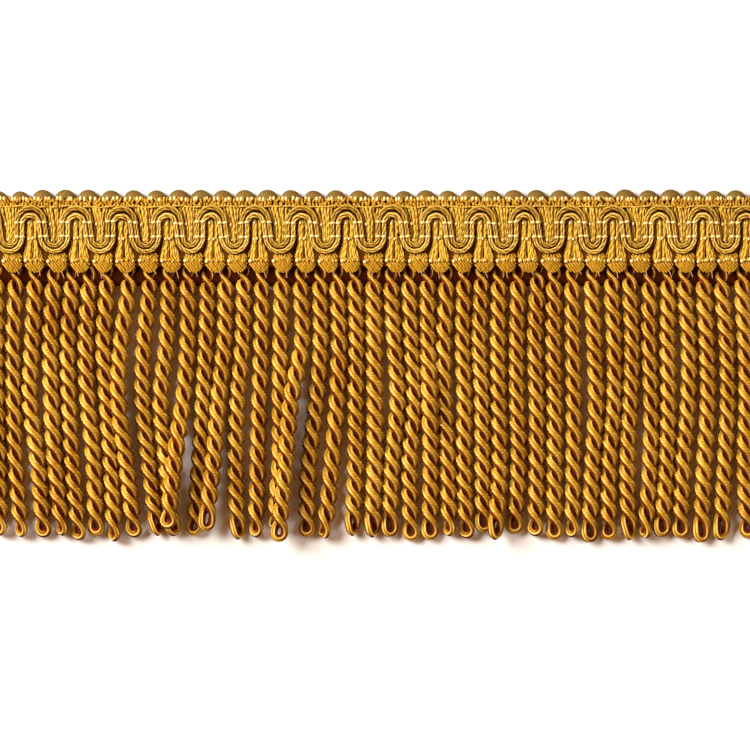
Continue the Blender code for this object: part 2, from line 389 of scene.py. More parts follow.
STREAKS_ALONG = 0.9  # cells of the streaks' noise for each millimetre along a yarn
STREAKS_ROUND = 2.3  # the same for each single round it
LOT_SCALE = 170.0  # cells of the dye lot's noise for each metre
LOT_SHARE = 0.5  # how far the dye lot moves the crest
HOLLOW_MOTTLE = 0.2  # share of the mottle that is left in a hollow
RAMP_STEPS = (0.25, 0.5)  # crest of the colour between hollow and flank, and of the flank
ROUGH_RANGE = (0.1, 0.6)  # crest at the hollow's roughness and at the finish's gloss
HOLLOW_ROUGHNESS = 0.85
YARN_TINT = (1.0, 0.78, 0.36, 1.0)  # tint of the yarn's gloss


@dataclass(frozen=True)
class YarnFinish:
    """Dyed rayon yarn, with its singles laid round it and filaments along them.

    Attributes:
        crest: Painted light, the colour where the yarn stands out.
        flank: Painted half shade, the colour half way down.
        hollow: Painted shade, the colour where it dips into the weave.
        singles: Singles round the yarn.
        turn: Millimetres along the yarn in which a single goes once round.
        relief: Height of the singles in millimetres.
        bead: Millimetres between the twist marks along a single.
        bead_share: Height of the twist marks against the singles.
        mottle: How far the relief moves the colour of the crest, and a fifth of that in the
        hollow, as painted shade in the grooves between the singles and at the twist marks.
        gloss: Roughness of the yarn where it stands out.
        shine: Specular level of the shader.
        low: Crest value at and below which the yarn has its hollow colour.
        high: Crest value from which it has its crest colour.
    """

    name: str
    crest: Colour
    flank: Colour
    hollow: Colour
    singles: int = 6
    turn: float = 3.0
    relief: float = 0.02
    bead: float = 0.4
    bead_share: float = 0.4
    mottle: float = 0.35
    gloss: float = 0.42
    shine: float = 0.5
    low: float = 0.42
    high: float = 0.95

    def make(self) -> bpy.types.Material:
        """Build the material on the fibre UV map and the crest attribute.

        The relief is the sum of the singles' sine wave, the twist marks' sine wave and a noise
        in streaks along the yarn. The crest, which is painted light and shade, moved by the
        relief and by a wide noise of the dye lot, picks the colour and the roughness.

        Returns:
            The material.
        """
        bench = NodeBench(self.name)
        uv = bench.node("UVMap")
        uv.uv_map = FIBRE_MAP
        parts = bench.node("SeparateXYZ", Vector=uv.outputs["UV"])
        length, share = parts.outputs["X"], parts.outputs["Y"]
        spiral = bench.sum_of("MULTIPLY_ADD", share, float(self.singles),
                              bench.sum_of("DIVIDE", length, self.turn / self.singles))
        wave = bench.sum_of("SINE", bench.sum_of("MULTIPLY", spiral, math.tau))
        mark = bench.sum_of("MULTIPLY_ADD", spiral, 0.5, bench.sum_of("DIVIDE", length, self.bead))
        beads_wave = bench.sum_of("SINE", bench.sum_of("MULTIPLY", mark, math.tau))
        streak_place = bench.node("CombineXYZ", X=bench.sum_of("MULTIPLY", length, STREAKS_ALONG),
                                  Y=bench.sum_of("MULTIPLY", spiral, STREAKS_ROUND))
        streak = bench.node("TexNoise", Vector=streak_place.outputs["Vector"], Scale=1.0,
                            Detail=3.0, Roughness=0.6).outputs["Fac"]
        coordinates = bench.node("TexCoord")
        lot = bench.node("TexNoise", Vector=coordinates.outputs["Object"], Scale=LOT_SCALE,
                         Detail=2.0).outputs["Fac"]

        crest = bench.node("Attribute")
        crest.attribute_name = CREST_NAME
        singles = bench.sum_of("MULTIPLY_ADD", wave, 0.5 * (1.0 - self.bead_share), streak)
        relief = bench.sum_of("MULTIPLY_ADD", beads_wave, 0.5 * self.bead_share, singles)
        height = bench.node("MapRange", Value=crest.outputs["Fac"], From_Min=self.low,
                            From_Max=self.high)
        mottle = bench.sum_of("MULTIPLY_ADD", height.outputs["Result"],
                              (1.0 - HOLLOW_MOTTLE) * self.mottle, HOLLOW_MOTTLE * self.mottle)
        shade = bench.sum_of("MULTIPLY_ADD", bench.sum_of("SUBTRACT", relief, 0.5), mottle,
                             height.outputs["Result"])
        shade = bench.sum_of("MULTIPLY_ADD", bench.sum_of("SUBTRACT", lot, 0.5), LOT_SHARE,
                             shade)
        # Painted light and shade: the ramp runs from the hollow's shade through the flank to the
        # crest's light.
        ramp = bench.node("ValToRGB", Fac=shade)
        steps = ramp.color_ramp.elements
        steps[0].color, steps[1].color = (*self.hollow, 1.0), (*self.crest, 1.0)
        between = np.sqrt(np.array(self.hollow) * np.array(self.flank))
        for place, colour in zip(RAMP_STEPS, (between, self.flank)):
            steps.new(place).color = (*colour, 1.0)
        bench.put(bench.shader.inputs["Base Color"], ramp.outputs["Color"])
        rough = bench.node("MapRange", Value=shade, From_Min=ROUGH_RANGE[0],
                           From_Max=ROUGH_RANGE[1], To_Min=HOLLOW_ROUGHNESS, To_Max=self.gloss)
        bench.put(bench.shader.inputs["Roughness"], rough.outputs["Result"])
        bump = bench.node("Bump", Strength=1.0, Distance=self.relief * MM, Height=relief)
        bench.put(bench.shader.inputs["Normal"], bump.outputs["Normal"])
        bench.shader.inputs["Specular IOR Level"].default_value = self.shine
        bench.shader.inputs["Specular Tint"].default_value = YARN_TINT
        return bench.material


# In each finish the crest colour is painted light and the flank and hollow colours are painted
# shade; the bullion's dark maroon hollow is the painted shade between its plies.
BULLION = YarnFinish("old_gold_bullion", (0.86, 0.565, 0.12), (0.42, 0.21, 0.008),
                     (0.085, 0.006, 0.0001), singles=6, turn=11.2, relief=0.035, bead=0.42,
                     bead_share=0.35, mottle=0.25, gloss=0.38, shine=0.3, low=0.1, high=1.35)
BELL_YARN = YarnFinish("yellow_gold_bell", (0.70, 0.435, 0.045), (0.42, 0.20, 0.008),
                       (0.10, 0.025, 0.0005), singles=2, turn=2.6, relief=0.09, bead=0.5,
                       bead_share=0.2, mottle=0.8)
GIMP_YARN = YarnFinish("gold_gimp", (0.66, 0.415, 0.05), (0.38, 0.18, 0.008),
                       (0.09, 0.022, 0.0005), singles=2, turn=2.4, relief=0.09, bead=0.5,
                       bead_share=0.2, mottle=0.8)
# The scallops' grey-green hollow colour, which shows round their rims, is a painted reflection of
# the pale surround.
SCALLOP_YARN = YarnFinish("dull_gold_scallop", (0.235, 0.125, 0.022), (0.13, 0.081, 0.02),
                          (0.075, 0.062, 0.028), singles=8, turn=6.0, relief=0.03, gloss=0.5,
                          shine=0.3, low=0.45, high=1.1)
HEM_YARN = YarnFinish("deep_gold_scallop", (0.54, 0.30, 0.018), (0.30, 0.12, 0.003),
                      (0.08, 0.014, 0.0004), singles=2, turn=2.2, relief=0.05, bead=0.5,
                      bead_share=0.2, mottle=0.5, low=0.6, high=0.98)
OUTER_CORD = YarnFinish("dull_gold_cord", (0.62, 0.40, 0.06), (0.31, 0.155, 0.007),
                        (0.08, 0.018, 0.001), singles=3, turn=1.4, relief=0.03, gloss=0.4,
                        low=0.68, high=1.12)
INNER_CORD = YarnFinish("pale_gold_cord", (0.82, 0.59, 0.14), (0.37, 0.20, 0.012),
                        (0.09, 0.022, 0.001), singles=3, turn=1.4, relief=0.03, gloss=0.36,
                        low=0.66, high=1.1)
STITCH_THREAD = YarnFinish("cream_stitch", (0.88, 0.69, 0.30), (0.74, 0.50, 0.16),
                           (0.45, 0.25, 0.05), singles=3, turn=1.0, relief=0.02, gloss=0.45,
                           low=0.3, high=0.8)
TOP_THREAD = YarnFinish("gold_top_thread", (0.70, 0.45, 0.075), (0.46, 0.26, 0.02),
                        (0.24, 0.09, 0.01), singles=3, turn=1.0, relief=0.02, gloss=0.4)
# The ground's dark brown is painted shade: it is coloured as dark as the shade seen between the
# heading's yarns.
GROUND_SHADE_WEAVE = YarnFinish("ground_weave_painted_shade", (0.17, 0.055, 0.003), (0.10, 0.028, 0.001),
                          (0.05, 0.01, 0.0005), singles=3, turn=2.0, relief=0.03, gloss=0.6,
                          shine=0.1, low=0.22, high=0.82)
# The root band's near-black maroon is painted shade for the dark between the strands' tops.
ROOT_SHADE_YARN = YarnFinish("root_painted_shade", (0.14, 0.045, 0.004), (0.08, 0.02, 0.001),
                       (0.04, 0.005, 0.0001), singles=3, turn=2.0, relief=0.02, gloss=0.7,
                       shine=0.08)
GAP_THREAD = YarnFinish("rose_brown_thread", (0.5, 0.26, 0.12), (0.36, 0.17, 0.07),
                        (0.22, 0.08, 0.03), singles=3, turn=0.8, relief=0.01, gloss=0.55,
                        low=0.22, high=0.82)


# Pieces

class Maker:
    """Puts finished forms into the scene and hides the CAD parts that they stand for."""

    def __init__(self) -> None:
        """Start with no materials made and no pieces counted."""
        self.materials: dict[str, bpy.types.Material] = {}
        self.triangles = 0

    def material(self, finish: YarnFinish) -> bpy.types.Material:
        """The finish's material, made once.

        Args:
            finish: The finish.

        Returns:
            The material.
        """
        if finish.name not in self.materials:
            self.materials[finish.name] = finish.make()
        return self.materials[finish.name]

    def piece(self, name: str, forms: list[Forms], finish: YarnFinish,
              node: str = HEADING_NODE) -> bpy.types.Object:
        """Make one object of several kinds of forms.

        Args:
            name: Name of the piece.
            forms: The forms that it holds.
            finish: Its finish.
            node: The CAD node that it stands for.

        Returns:
            The object, which rides on the fringe's one body.
        """
        points, starts, corners, uvs, crests = [], [], [], [], []
        first_point = first_corner = 0
        for form in forms:
            points.append(form.rings.reshape(-1, 3))
            crests.append(np.broadcast_to(form.crest, form.rings.shape[:3]).reshape(-1))
            for faces in (form.quads(), form.caps()):
                sides = faces.shape[1]
                starts.append(first_corner + np.arange(len(faces)) * sides)
                corners.append(faces.reshape(-1) + first_point)
                first_corner += faces.size
                self.triangles += len(faces) * (sides - 2)
            uvs.append(form.fibre_uv())
            first_point += len(points[-1])
        mesh = bpy.data.meshes.new(name)
        mesh.vertices.add(first_point)
        mesh.vertices.foreach_set("co", (np.concatenate(points) * MM).ravel())
        mesh.loops.add(first_corner)
        mesh.loops.foreach_set("vertex_index", np.concatenate(corners).astype(np.int32))
        mesh.polygons.add(sum(len(block) for block in starts))
        mesh.polygons.foreach_set("loop_start", np.concatenate(starts).astype(np.int32))
        mesh.update(calc_edges=True)
        layer = mesh.uv_layers.new(name=FIBRE_MAP)
        layer.data.foreach_set("uv", np.concatenate(uvs).ravel())
        attribute = mesh.attributes.new(CREST_NAME, "FLOAT", "POINT")
        attribute.data.foreach_set("value", np.concatenate(crests))
        mesh.shade_smooth()
        mesh.materials.append(self.material(finish))
        made = bpy.data.objects.new(name, mesh)
        bpy.context.scene.collection.objects.link(made)
        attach(made, BODY)
        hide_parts(node)
        LOG.info("%s: %d points", name, first_point)
        return made


class Strand(NamedTuple):
    """Sideways lie of a strand, off its even place, at five stations, its length and its loop.

    The turn is in degrees: nought where the loop lies flat, and 90 where it is seen edge on.
    The slack is the length of the loop before the twist is at its full rate, and the eye is
    the loop's width against the others'.
    """

    top: float
    upper: float
    middle: float
    lower: float
    tip: float
    length: float
    turn: float
    slack: float = 3.0
    eye: float = 1.0


class Rise(NamedTuple):
    """Height a strand gains where it lies on its neighbour, at the last three stations."""

    strand: int
    middle: float
    lower: float
    tip: float


@dataclass(frozen=True)
class Skirt:
    """The strands: each is one ply laid round itself and looped at its end.

    Attributes:
        loop_ply: Radius of the ply in its loop, against ply_radius.
        half_turn: Length in which the two halves of a ply go half round each other.
        first_lobe: Height at which every strand has finished a half turn.
        yarn_turns: Turns of the yarns' pattern for each turn of the twist.
        yarn_start: Degrees that the yarns' pattern is turned by at the loop's end.
        lit: Degrees from straight up to the far edge of a lit band.
        low_from: Degrees from up past which the lit band widens on a ply that lies low.
        gold_edge: Degrees off a lit band over which the painted gold turns to the flank's painted
            brown shade.
        core_edge: Degrees off a lit band over which the flank turns to the core's painted dark
            shade.
        core_shade: Share of the yarns' painted shade that is left in the core.
        root_rise: Heights between which a strand goes down to its root.
        root_press: Heights between which the twist is pressed to root_flat of its height.
        root_thin: Heights between which a ply loses root_loss of its radius.
        loop_reach: Distances from the loop between which a ply gains its full radius.
        sag_reach: Distances from the loop between which its sag ends.
        yarn_change: Distance on each side of the loop in which the yarns' pattern changes over.
        pieces: Objects that the strands are shared out to.
        stations: Shares of a strand's length at which its lie is given.
    """

    weave: Weave
    pitch: float = 3.165
    ply_radius: float = 0.74
    loop_ply: float = 0.79
    lay_radius: float = 0.77
    loop_radius: float = 0.9
    loop_height: float = 0.95
    half_turn: float = 2.92
    yarns: int = 6
    yarn_relief: float = 0.19
    yarn_shade: float = 0.5
    yarn_turns: float = 4.0
    yarn_start: float = 144.0
    yarn_change: float = 2.5
    lit: float = 30.0
    low_from: float = 100.0
    gold_edge: tuple[float, float] = (5.0, 22.0)
    core_edge: tuple[float, float] = (32.0, 52.0)
    flank: float = 0.45
    core_shade: float = 0.3
    first_lobe: float = 12.7
    lobe_spread: float = 0.3
    radius_spread: float = 0.03
    wobble: tuple[float, float] = (0.02, 0.12)
    wobble_length: tuple[float, float] = (6.0, 22.0)
    wobble_from: tuple[float, float] = (1.0, 6.0)
    centre_height: float = 1.54
    floor_gap: float = 0.02
    root_height: float = 0.95
    root_flat: float = 0.4
    root_y: float = 16.6
    root_rise: tuple[float, float] = (13.0, 15.6)
    root_press: tuple[float, float] = (13.2, 15.4)
    root_thin: tuple[float, float] = (11.8, 15.2)
    root_loss: float = 0.52
    drop: float = 0.35
    loop_reach: tuple[float, float] = (1.5, 4.0)
    sag: float = 0.6
    sag_reach: tuple[float, float] = (0.5, 4.5)
    sides: int = 28
    rings_up: int = 110
    loop_rings: int = 7
    pieces: int = 4
    stations: tuple[float, ...] = (0.0, 0.05, 0.26, 0.485, 0.715, 1.0)
    strands: tuple[Strand, ...] = (
        Strand(-1.0, -1.0, -0.9, -0.6, -0.4, 44.4, 40),
        Strand(-0.9, -1.3, -1.2, -0.9, 0.1, 44.7, 45, eye=0.85),
        Strand(-0.8, -1.2, -1.6, -0.3, 0.7, 44.7, 15),
        Strand(-0.8, -1.3, -1.1, -0.6, 0.8, 44.4, 55, eye=0.85),
        Strand(-0.9, -1.5, -1.3, -0.7, 0.4, 45.2, 30),
        Strand(-1.1, -1.6, -1.3, -0.3, 0.1, 44.5, 10),
        Strand(-1.2, -1.8, -1.2, -0.5, 0.1, 45.4, 50, eye=0.85),
        Strand(-0.7, -2.0, -2.4, -1.1, 0.3, 44.7, 15),
        Strand(-0.3, -1.2, -1.5, -0.5, 1.1, 44.5, -60),
        Strand(-0.2, -0.5, -1.6, -0.7, 0.6, 44.5, -40),
        Strand(-0.1, -0.1, -0.8, -2.2, -3.5, 43.2, 20),
        Strand(0.1, -0.2, -0.7, -1.3, -2.3, 44.5, 10),
        Strand(-0.1, -0.2, -1.2, -2.0, -3.4, 43.7, -25, 4.2),
        Strand(-0.1, -0.3, -1.2, -1.5, -1.1, 45.1, -60),
        Strand(-0.2, -0.3, -0.6, -0.9, -1.2, 44.7, 30, eye=0.85),
        Strand(0.0, -0.2, -0.3, -0.3, -1.2, 43.5, 60),
        Strand(0.1, 0.3, -1.6, -2.5, -3.7, 45.5, -10),
        Strand(0.2, 0.3, -0.4, -1.7, -2.1, 44.7, 10),
        Strand(0.0, 0.3, -0.1, -0.9, -2.3, 44.9, 60),
        Strand(-0.2, 0.1, -0.1, -0.1, -0.7, 44.5, -60),
        Strand(-0.2, -0.1, 0.0, 0.0, -0.5, 44.7, -60),
        Strand(-0.4, 0.1, 0.7, -0.2, -0.7, 44.7, -25, 4.2),
        Strand(-0.5, -0.1, 0.4, -0.4, -0.2, 45.4, 0),
        Strand(-0.5, -0.5, -0.2, 0.0, -0.2, 45.2, -20),
        Strand(-0.5, -0.9, -0.9, -0.3, 0.0, 44.5, 50, eye=0.85),
        Strand(-0.7, -0.9, -0.6, -0.7, -0.2, 44.9, 20),
        Strand(-0.9, -1.3, -0.8, -0.7, -0.6, 43.9, -20),
        Strand(-1.1, -1.2, -1.1, -0.9, -1.8, 45.1, -55),
        Strand(-1.0, -1.2, -1.2, -0.9, -1.7, 44.2, -10),
        Strand(-0.9, -1.3, -1.0, -1.0, -1.2, 44.5, 25),
        Strand(-1.2, -1.3, -1.1, -1.1, -1.2, 45.2, -5),
        Strand(-1.3, -1.2, -1.0, -1.1, -1.3, 44.7, 35, eye=0.85),
        Strand(-1.1, -0.7, -0.4, -1.0, -1.6, 45.6, -30),
        Strand(-0.9, -0.5, -0.5, -1.3, -1.4, 45.2, 10),
        Strand(-1.0, -0.6, -0.9, -1.4, -1.1, 45.2, -60),
        Strand(-0.8, -0.9, -0.6, -0.7, -1.6, 44.9, 60),
        Strand(-0.8, -0.9, -0.8, -1.0, -2.0, 44.7, -25),
        Strand(-1.2, -0.5, -0.6, -1.4, -1.9, 44.9, -15),
        Strand(-1.1, -0.6, -0.4, -1.0, -1.6, 45.6, -30, 4.2),
        Strand(-1.2, -0.4, -0.2, -0.7, -1.4, 45.2, -35, 4.2),
        Strand(-0.9, -0.4, -0.2, -0.5, 0.1, 44.9, 5),
    )
    rises: tuple[Rise, ...] = (
        Rise(7, 1.7, 0.8, 0.0),
        Rise(10, 0.0, 2.7, 2.7),
        Rise(12, 0.6, 1.5, 1.8),
        Rise(16, 2.2, 2.7, 2.6),
        Rise(23, 1.4, 0.0, 0.0),
        Rise(27, 0.0, 0.0, 1.7),
    )

    def from_tip(self) -> np.ndarray:
        """Distance of each ring's centre from the loop's end, shape (strands, rings of a side).

        It follows loop_height * (1 - cos a) round the loop's foot and even steps above it.

        Returns:
            The distances, from the loop's end to the root.
        """
        tips = self.tips()
        quarter = np.linspace(0.0, math.pi / 2.0, self.loop_rings)
        foot = self.loop_height * (1.0 - np.cos(quarter))
        reach = (self.root_y - tips - self.loop_height)[:, None]
        steps = np.arange(1, self.rings_up + 1) / self.rings_up
        rest = self.loop_height + reach * steps
        return np.concatenate((np.broadcast_to(foot, (len(tips), len(foot))), rest), axis=1)

    def each(self, name: str) -> np.ndarray:
        """One value of every strand, by its name, shape (strands, 1)."""
        return np.array([getattr(strand, name) for strand in self.strands])[:, None]

    def tips(self) -> np.ndarray:
        """Y of the ply's centre line at the end of each loop."""
        lengths = self.each("length")[:, 0]
        return self.weave.skirt_edge - lengths - self.drop + self.ply_radius * self.loop_ply

    def centres(self, y: np.ndarray) -> np.ndarray:
        """Centre line of each strand at given heights down the skirt.

        Args:
            y: Shape (strands, points).

        Returns:
            Points, shape (strands, points, 3).
        """
        names = ("top", "top", "upper", "middle", "lower", "tip")
        lie = np.concatenate([self.each(name) for name in names], axis=1)
        share = np.clip((self.weave.skirt_edge - y) / self.each("length"), 0.0, 1.0)
        rise = np.zeros((len(self.strands), len(self.stations)))
        for row in self.rises:
            rise[row.strand, 3:] = row[1:]
        places = np.array(self.stations)
        middle = (len(self.strands) - 1) / 2.0
        even = (np.arange(len(self.strands)) - middle)[:, None] * self.pitch
        x = even + hermite(places, lie, share)
        lift = np.maximum(hermite(places, rise, share), 0.0)
        root = smooth_step(y, *self.root_rise)
        z = (1.0 - root) * self.centre_height + root * self.root_height + lift
        return points_of(x, y, z)

    def forms(self) -> Forms:
        """The plies of all strands.

        A ply's centre is the strand's centre plus r * (cos f, 0, sin f). The angle f grows
        evenly with the distance from the loop and slackens as its square near it, so that the
        loop lies at its own turn and the first lobes of all strands lie at one height. A loop
        that lies flat sags towards the floor.

        Returns:
            The plies, one form for each strand, from its root down and up to its root again.
        """
        random = np.random.default_rng(SEED)
        distance = self.from_tip()
        count = len(self.strands)
        y = self.tips()[:, None] + distance
        centre = self.centres(y)
        turn = np.radians(self.each("turn"))
        slack = self.each("slack")

        def wound(length: np.ndarray) -> np.ndarray:
            """Length counted in even turns: squared near the loop, straight above it."""
            return np.where(length < slack, length ** 2 / (2.0 * slack), length - slack / 2.0)

        mark = self.first_lobe + random.normal(0.0, self.lobe_spread, (count, 1))
        full = wound(mark - self.tips()[:, None])
        halves = np.round((full * math.pi / self.half_turn - turn) / math.pi)
        rate = (halves * math.pi - turn) / full
        wobble = sum(random.uniform(*self.wobble, (count, 1))
                     * np.sin(distance * math.tau / random.uniform(*self.wobble_length, (count, 1))
                              + random.uniform(0.0, 6.28, (count, 1))) for _ in range(3))
        angle = (turn + rate * wound(distance)
                 + wobble * smooth_step(distance, *self.wobble_from))

        foot = np.clip(distance / self.loop_height, 0.0, 1.0)
        closing = np.sqrt(1.0 - (1.0 - foot) ** 2)
        wide = self.loop_radius * self.each("eye")
        spread = wide + (self.lay_radius - wide) * smooth_step(distance, self.loop_height, slack)
        reach = spread * closing
        flat = 1.0 - (1.0 - self.root_flat) * smooth_step(y, *self.root_press)
        outward = points_of(np.cos(angle), 0.0, np.sin(angle))
        arm = outward * reach[..., None]
        arm[..., 2] *= flat
        centre[..., 2] -= (self.sag * (1.0 - np.abs(np.sin(turn)))
                           * (1.0 - smooth_step(distance, *self.sag_reach)))
        across = points_of(-np.sin(angle), 0.0, np.cos(angle))

        def both(first: np.ndarray, second: np.ndarray) -> np.ndarray:
            """Values of a ply's first half, down to its loop, and of its second, up again."""
            return np.concatenate((first[:, ::-1], second[:, 1:]), axis=1)

        path = both(centre + arm, centre - arm)
        radius = self.ply_radius * random.normal(1.0, self.radius_spread, (count, 1))
        thinner = ((1.0 - self.root_loss * smooth_step(y, *self.root_thin))
                   * (self.loop_ply + (1.0 - self.loop_ply)
                      * smooth_step(distance, *self.loop_reach)))
        forms = carry(path, radius * both(thinner, thinner), self.sides, both(across, across))
        run = both(-distance, distance)
        twist = both(2.0 * turn - angle, angle)
        swell = self.yarn_swell(twist, run, turn)
        spokes = forms.rings - path[:, :, None]
        forms.rings = path[:, :, None] + spokes * (1.0 + self.yarn_relief * swell)[..., None]
        # Painted light and shade: gold highlight bands on each ply's upper and lower sides, brown
        # flanks and a dark core, darker between the yarns.
        sheen = self.sheen_of(both(outward, -outward), run)
        forms.crest = sheen + self.yarn_shade * swell * (self.core_shade
                                                         + (1.0 - self.core_shade) * sheen)
        forms.rings[..., 2] = np.maximum(forms.rings[..., 2], self.floor_gap)
        return forms

    def yarn_swell(self, twist: np.ndarray, run: np.ndarray, turn: np.ndarray) -> np.ndarray:
        """Height of a ply's yarns, cos(yarns * a + yarn_turns * twist + start).

        With six yarns and four turns they turn back two thirds as fast as the twist. The start
        differs between the two halves of a ply, and goes over from one to the other round the
        loop.

        Args:
            twist: Angle wound along the ply, shape (strands, rings).
            run: Distance from the loop, negative on the first half, shape (strands, rings).
            turn: Turn of each loop, shape (strands, 1).

        Returns:
            From minus one to one, shape (strands, rings, sides).
        """
        both_turns = 2.0 * self.yarn_turns * turn
        start = math.radians(self.yarn_start) - both_turns
        change = (both_turns - 2.0 * math.radians(self.yarn_start) + math.pi) % math.tau
        start = start + (change - math.pi) * smooth_step(run, -self.yarn_change,
                                                         self.yarn_change)
        return np.cos(self.yarns * section_angles(self.sides)
                      + (self.yarn_turns * twist + start)[..., None])

    def sheen_of(self, away: np.ndarray, run: np.ndarray) -> np.ndarray:
        """How far each point of a ply shows its gold, from its angle d off the nearer lit band.

        With u the angle between outward and up, the upper band reaches from u - 90 degrees to
        the less of u and lit, plus half of what u has above low_from, all measured from up
        towards the outward side. The lower band is the same from below. The bands are a painted
        highlight on the ply's upper and lower sides. The gold falls in a smooth step to a
        painted brown shade on the flank round each band, and in a second one to the painted
        dark shade of the core.

        Args:
            away: Outward direction, shape (strands, rings, 3).
            run: Distance from the loop, shape (strands, rings).

        Returns:
            One on the lit bands, flank on the flanks and zero in the core, shape (strands,
            rings, sides).
        """
        foot = np.clip(np.abs(run) / self.loop_height, 0.0, 1.0)
        closing = np.sqrt(1.0 - (1.0 - foot) ** 2)
        upright = np.arccos(np.clip(away[..., 2] * closing, -1.0, 1.0))[..., None]
        side = np.where(run > 0.0, 1.0, -1.0) * np.where(away[..., 0] > 0.0, 1.0, -1.0)
        part = side[..., None] * (section_angles(self.sides) - math.pi)
        part = (part + math.pi) % math.tau - math.pi
        nearest = np.full(part.shape, math.pi)
        for u, b in ((upright, part), (math.pi - upright, -part)):
            end = (np.minimum(u, math.radians(self.lit))
                   + 0.5 * np.clip(u - math.radians(self.low_from), 0.0, None))
            start = np.clip(u - math.pi / 2.0, 0.0, end)
            off = np.maximum(np.maximum(u - end - b, b - u + start), 0.0)
            nearest = np.minimum(nearest, off)
        off = np.degrees(nearest)
        return (1.0 - (1.0 - self.flank) * smooth_step(off, *self.gold_edge)
                - self.flank * smooth_step(off, *self.core_edge))

    def build(self, maker: Maker) -> None:
        """Make the strands, in groups of neighbours.

        Args:
            maker: Puts them into the scene.
        """
        forms = self.forms()
        groups = np.array_split(np.arange(len(self.strands)), self.pieces)
        for number, group in enumerate(groups, start=1):
            part = Forms(forms.rings[group], forms.along[group], forms.crest[group])
            maker.piece(f"bullion_strands_{number}", [part], BULLION, SKIRT_NODE)


@dataclass(frozen=True)
class HeadingGround:
    """The woven ground that the heading's yarns lie on, a ribbed slab with a step in its back.

    Attributes:
        rib: Distance from one rib to the next.
        rib_columns: Columns of points for each rib.
        face_crest: Crest of the whole face, which picks its colour, a dark painted shade.
        back_pick: Length of a repeat of the back's plain weave.
        step_y: Height at which the back steps up, behind the bottom scallops.
        step_z: Distance of the step's face from the surface.
        rim_y: Height of the lower rim.
        top_y: Height of the top rim.
        width: Width of the heading over its scallops.
        front: Y and z of the face's profile, from the lower rim to the top.
    """

    weave: Weave
    rib: float = 0.9
    rib_columns: int = 4
    face_crest: float = 0.45
    rib_depth: float = 0.07
    back_pick: float = 1.5
    step_y: float = 17.55
    step_z: float = 1.6
    rim_y: float = 16.45
    top_y: float = 28.3
    top_z: float = 0.5
    width: float = 14.4
    front: tuple[tuple[float, float], ...] = (
        (16.45, 1.75), (17.0, 1.78), (17.6, 1.66), (18.4, 1.5), (19.4, 1.42), (20.4, 1.4),
        (21.4, 1.4), (22.4, 1.4), (23.4, 1.4), (24.4, 1.4), (25.4, 1.42), (26.4, 1.42),
        (27.3, 1.35), (27.8, 1.2), (28.2, 1.0))

    def forms(self) -> Forms:
        """One closed form along the fringe.

        Its front falls by rib_depth between the ribs, as (1 - cos(2 pi x / rib)) / 2, and its
        back has a plain weave, as sin(2 pi x / rib) * sin(2 pi y / back_pick).

        Returns:
            The form, a section for each column of points.
        """
        columns = int(round(self.weave.length / self.rib)) * self.rib_columns + 1
        x = np.linspace(-self.weave.half, self.weave.half, columns)
        back_y = np.arange(self.top_y, self.step_y, -self.back_pick / 4.0)
        back = np.stack((back_y, np.zeros_like(back_y)), axis=-1)
        middle_y = (self.step_y + self.rim_y) / 2.0
        step = np.array(((self.step_y, 0.0), (self.step_y, self.step_z / 2.0),
                         (self.step_y, self.step_z), (middle_y, self.step_z),
                         (self.rim_y, self.step_z)))
        profile = np.concatenate((back, step, self.front, ((self.top_y, self.top_z),)))
        y, z = (np.tile(profile[:, axis], (columns, 1)) for axis in (0, 1))
        ribs = self.rib_depth * (1.0 - np.cos(math.tau * x / self.rib)) / 2.0
        first_front = len(back) + len(step)
        z[:, first_front:-1] -= ribs[:, None]
        weave = (1.0 + np.sin(math.tau * x[:, None] / self.rib)
                 * np.sin(math.tau * y[:, :len(back)] / self.back_pick)) / 2.0
        z[:, :len(back)] += self.rib_depth * weave
        rings = points_of(x[:, None], y, z)[None]
        crest = np.full(rings.shape[:3], self.face_crest)
        # Painted shade: the back's weave lighter where it stands out and darker in its hollows.
        crest[:, :, :len(back)] = 1.0 - weave
        return Forms(rings, x[None], crest)

    def build(self, maker: Maker) -> None:
        ground = maker.piece("heading_ground", [self.forms()], GROUND_SHADE_WEAVE)


def bowl(q: np.ndarray) -> np.ndarray:
    """A scallop's depth across it, sqrt(1 - q^2), q being -1 to 1."""
    return np.sqrt(1.0 - np.clip(q, -1.0, 1.0) ** 2)


class Yarn(NamedTuple):
    """One yarn of a bundle: its offsets from the bundle's middle, its size and its lift."""

    offsets: tuple[float, ...]
    radius: float
    lift: float


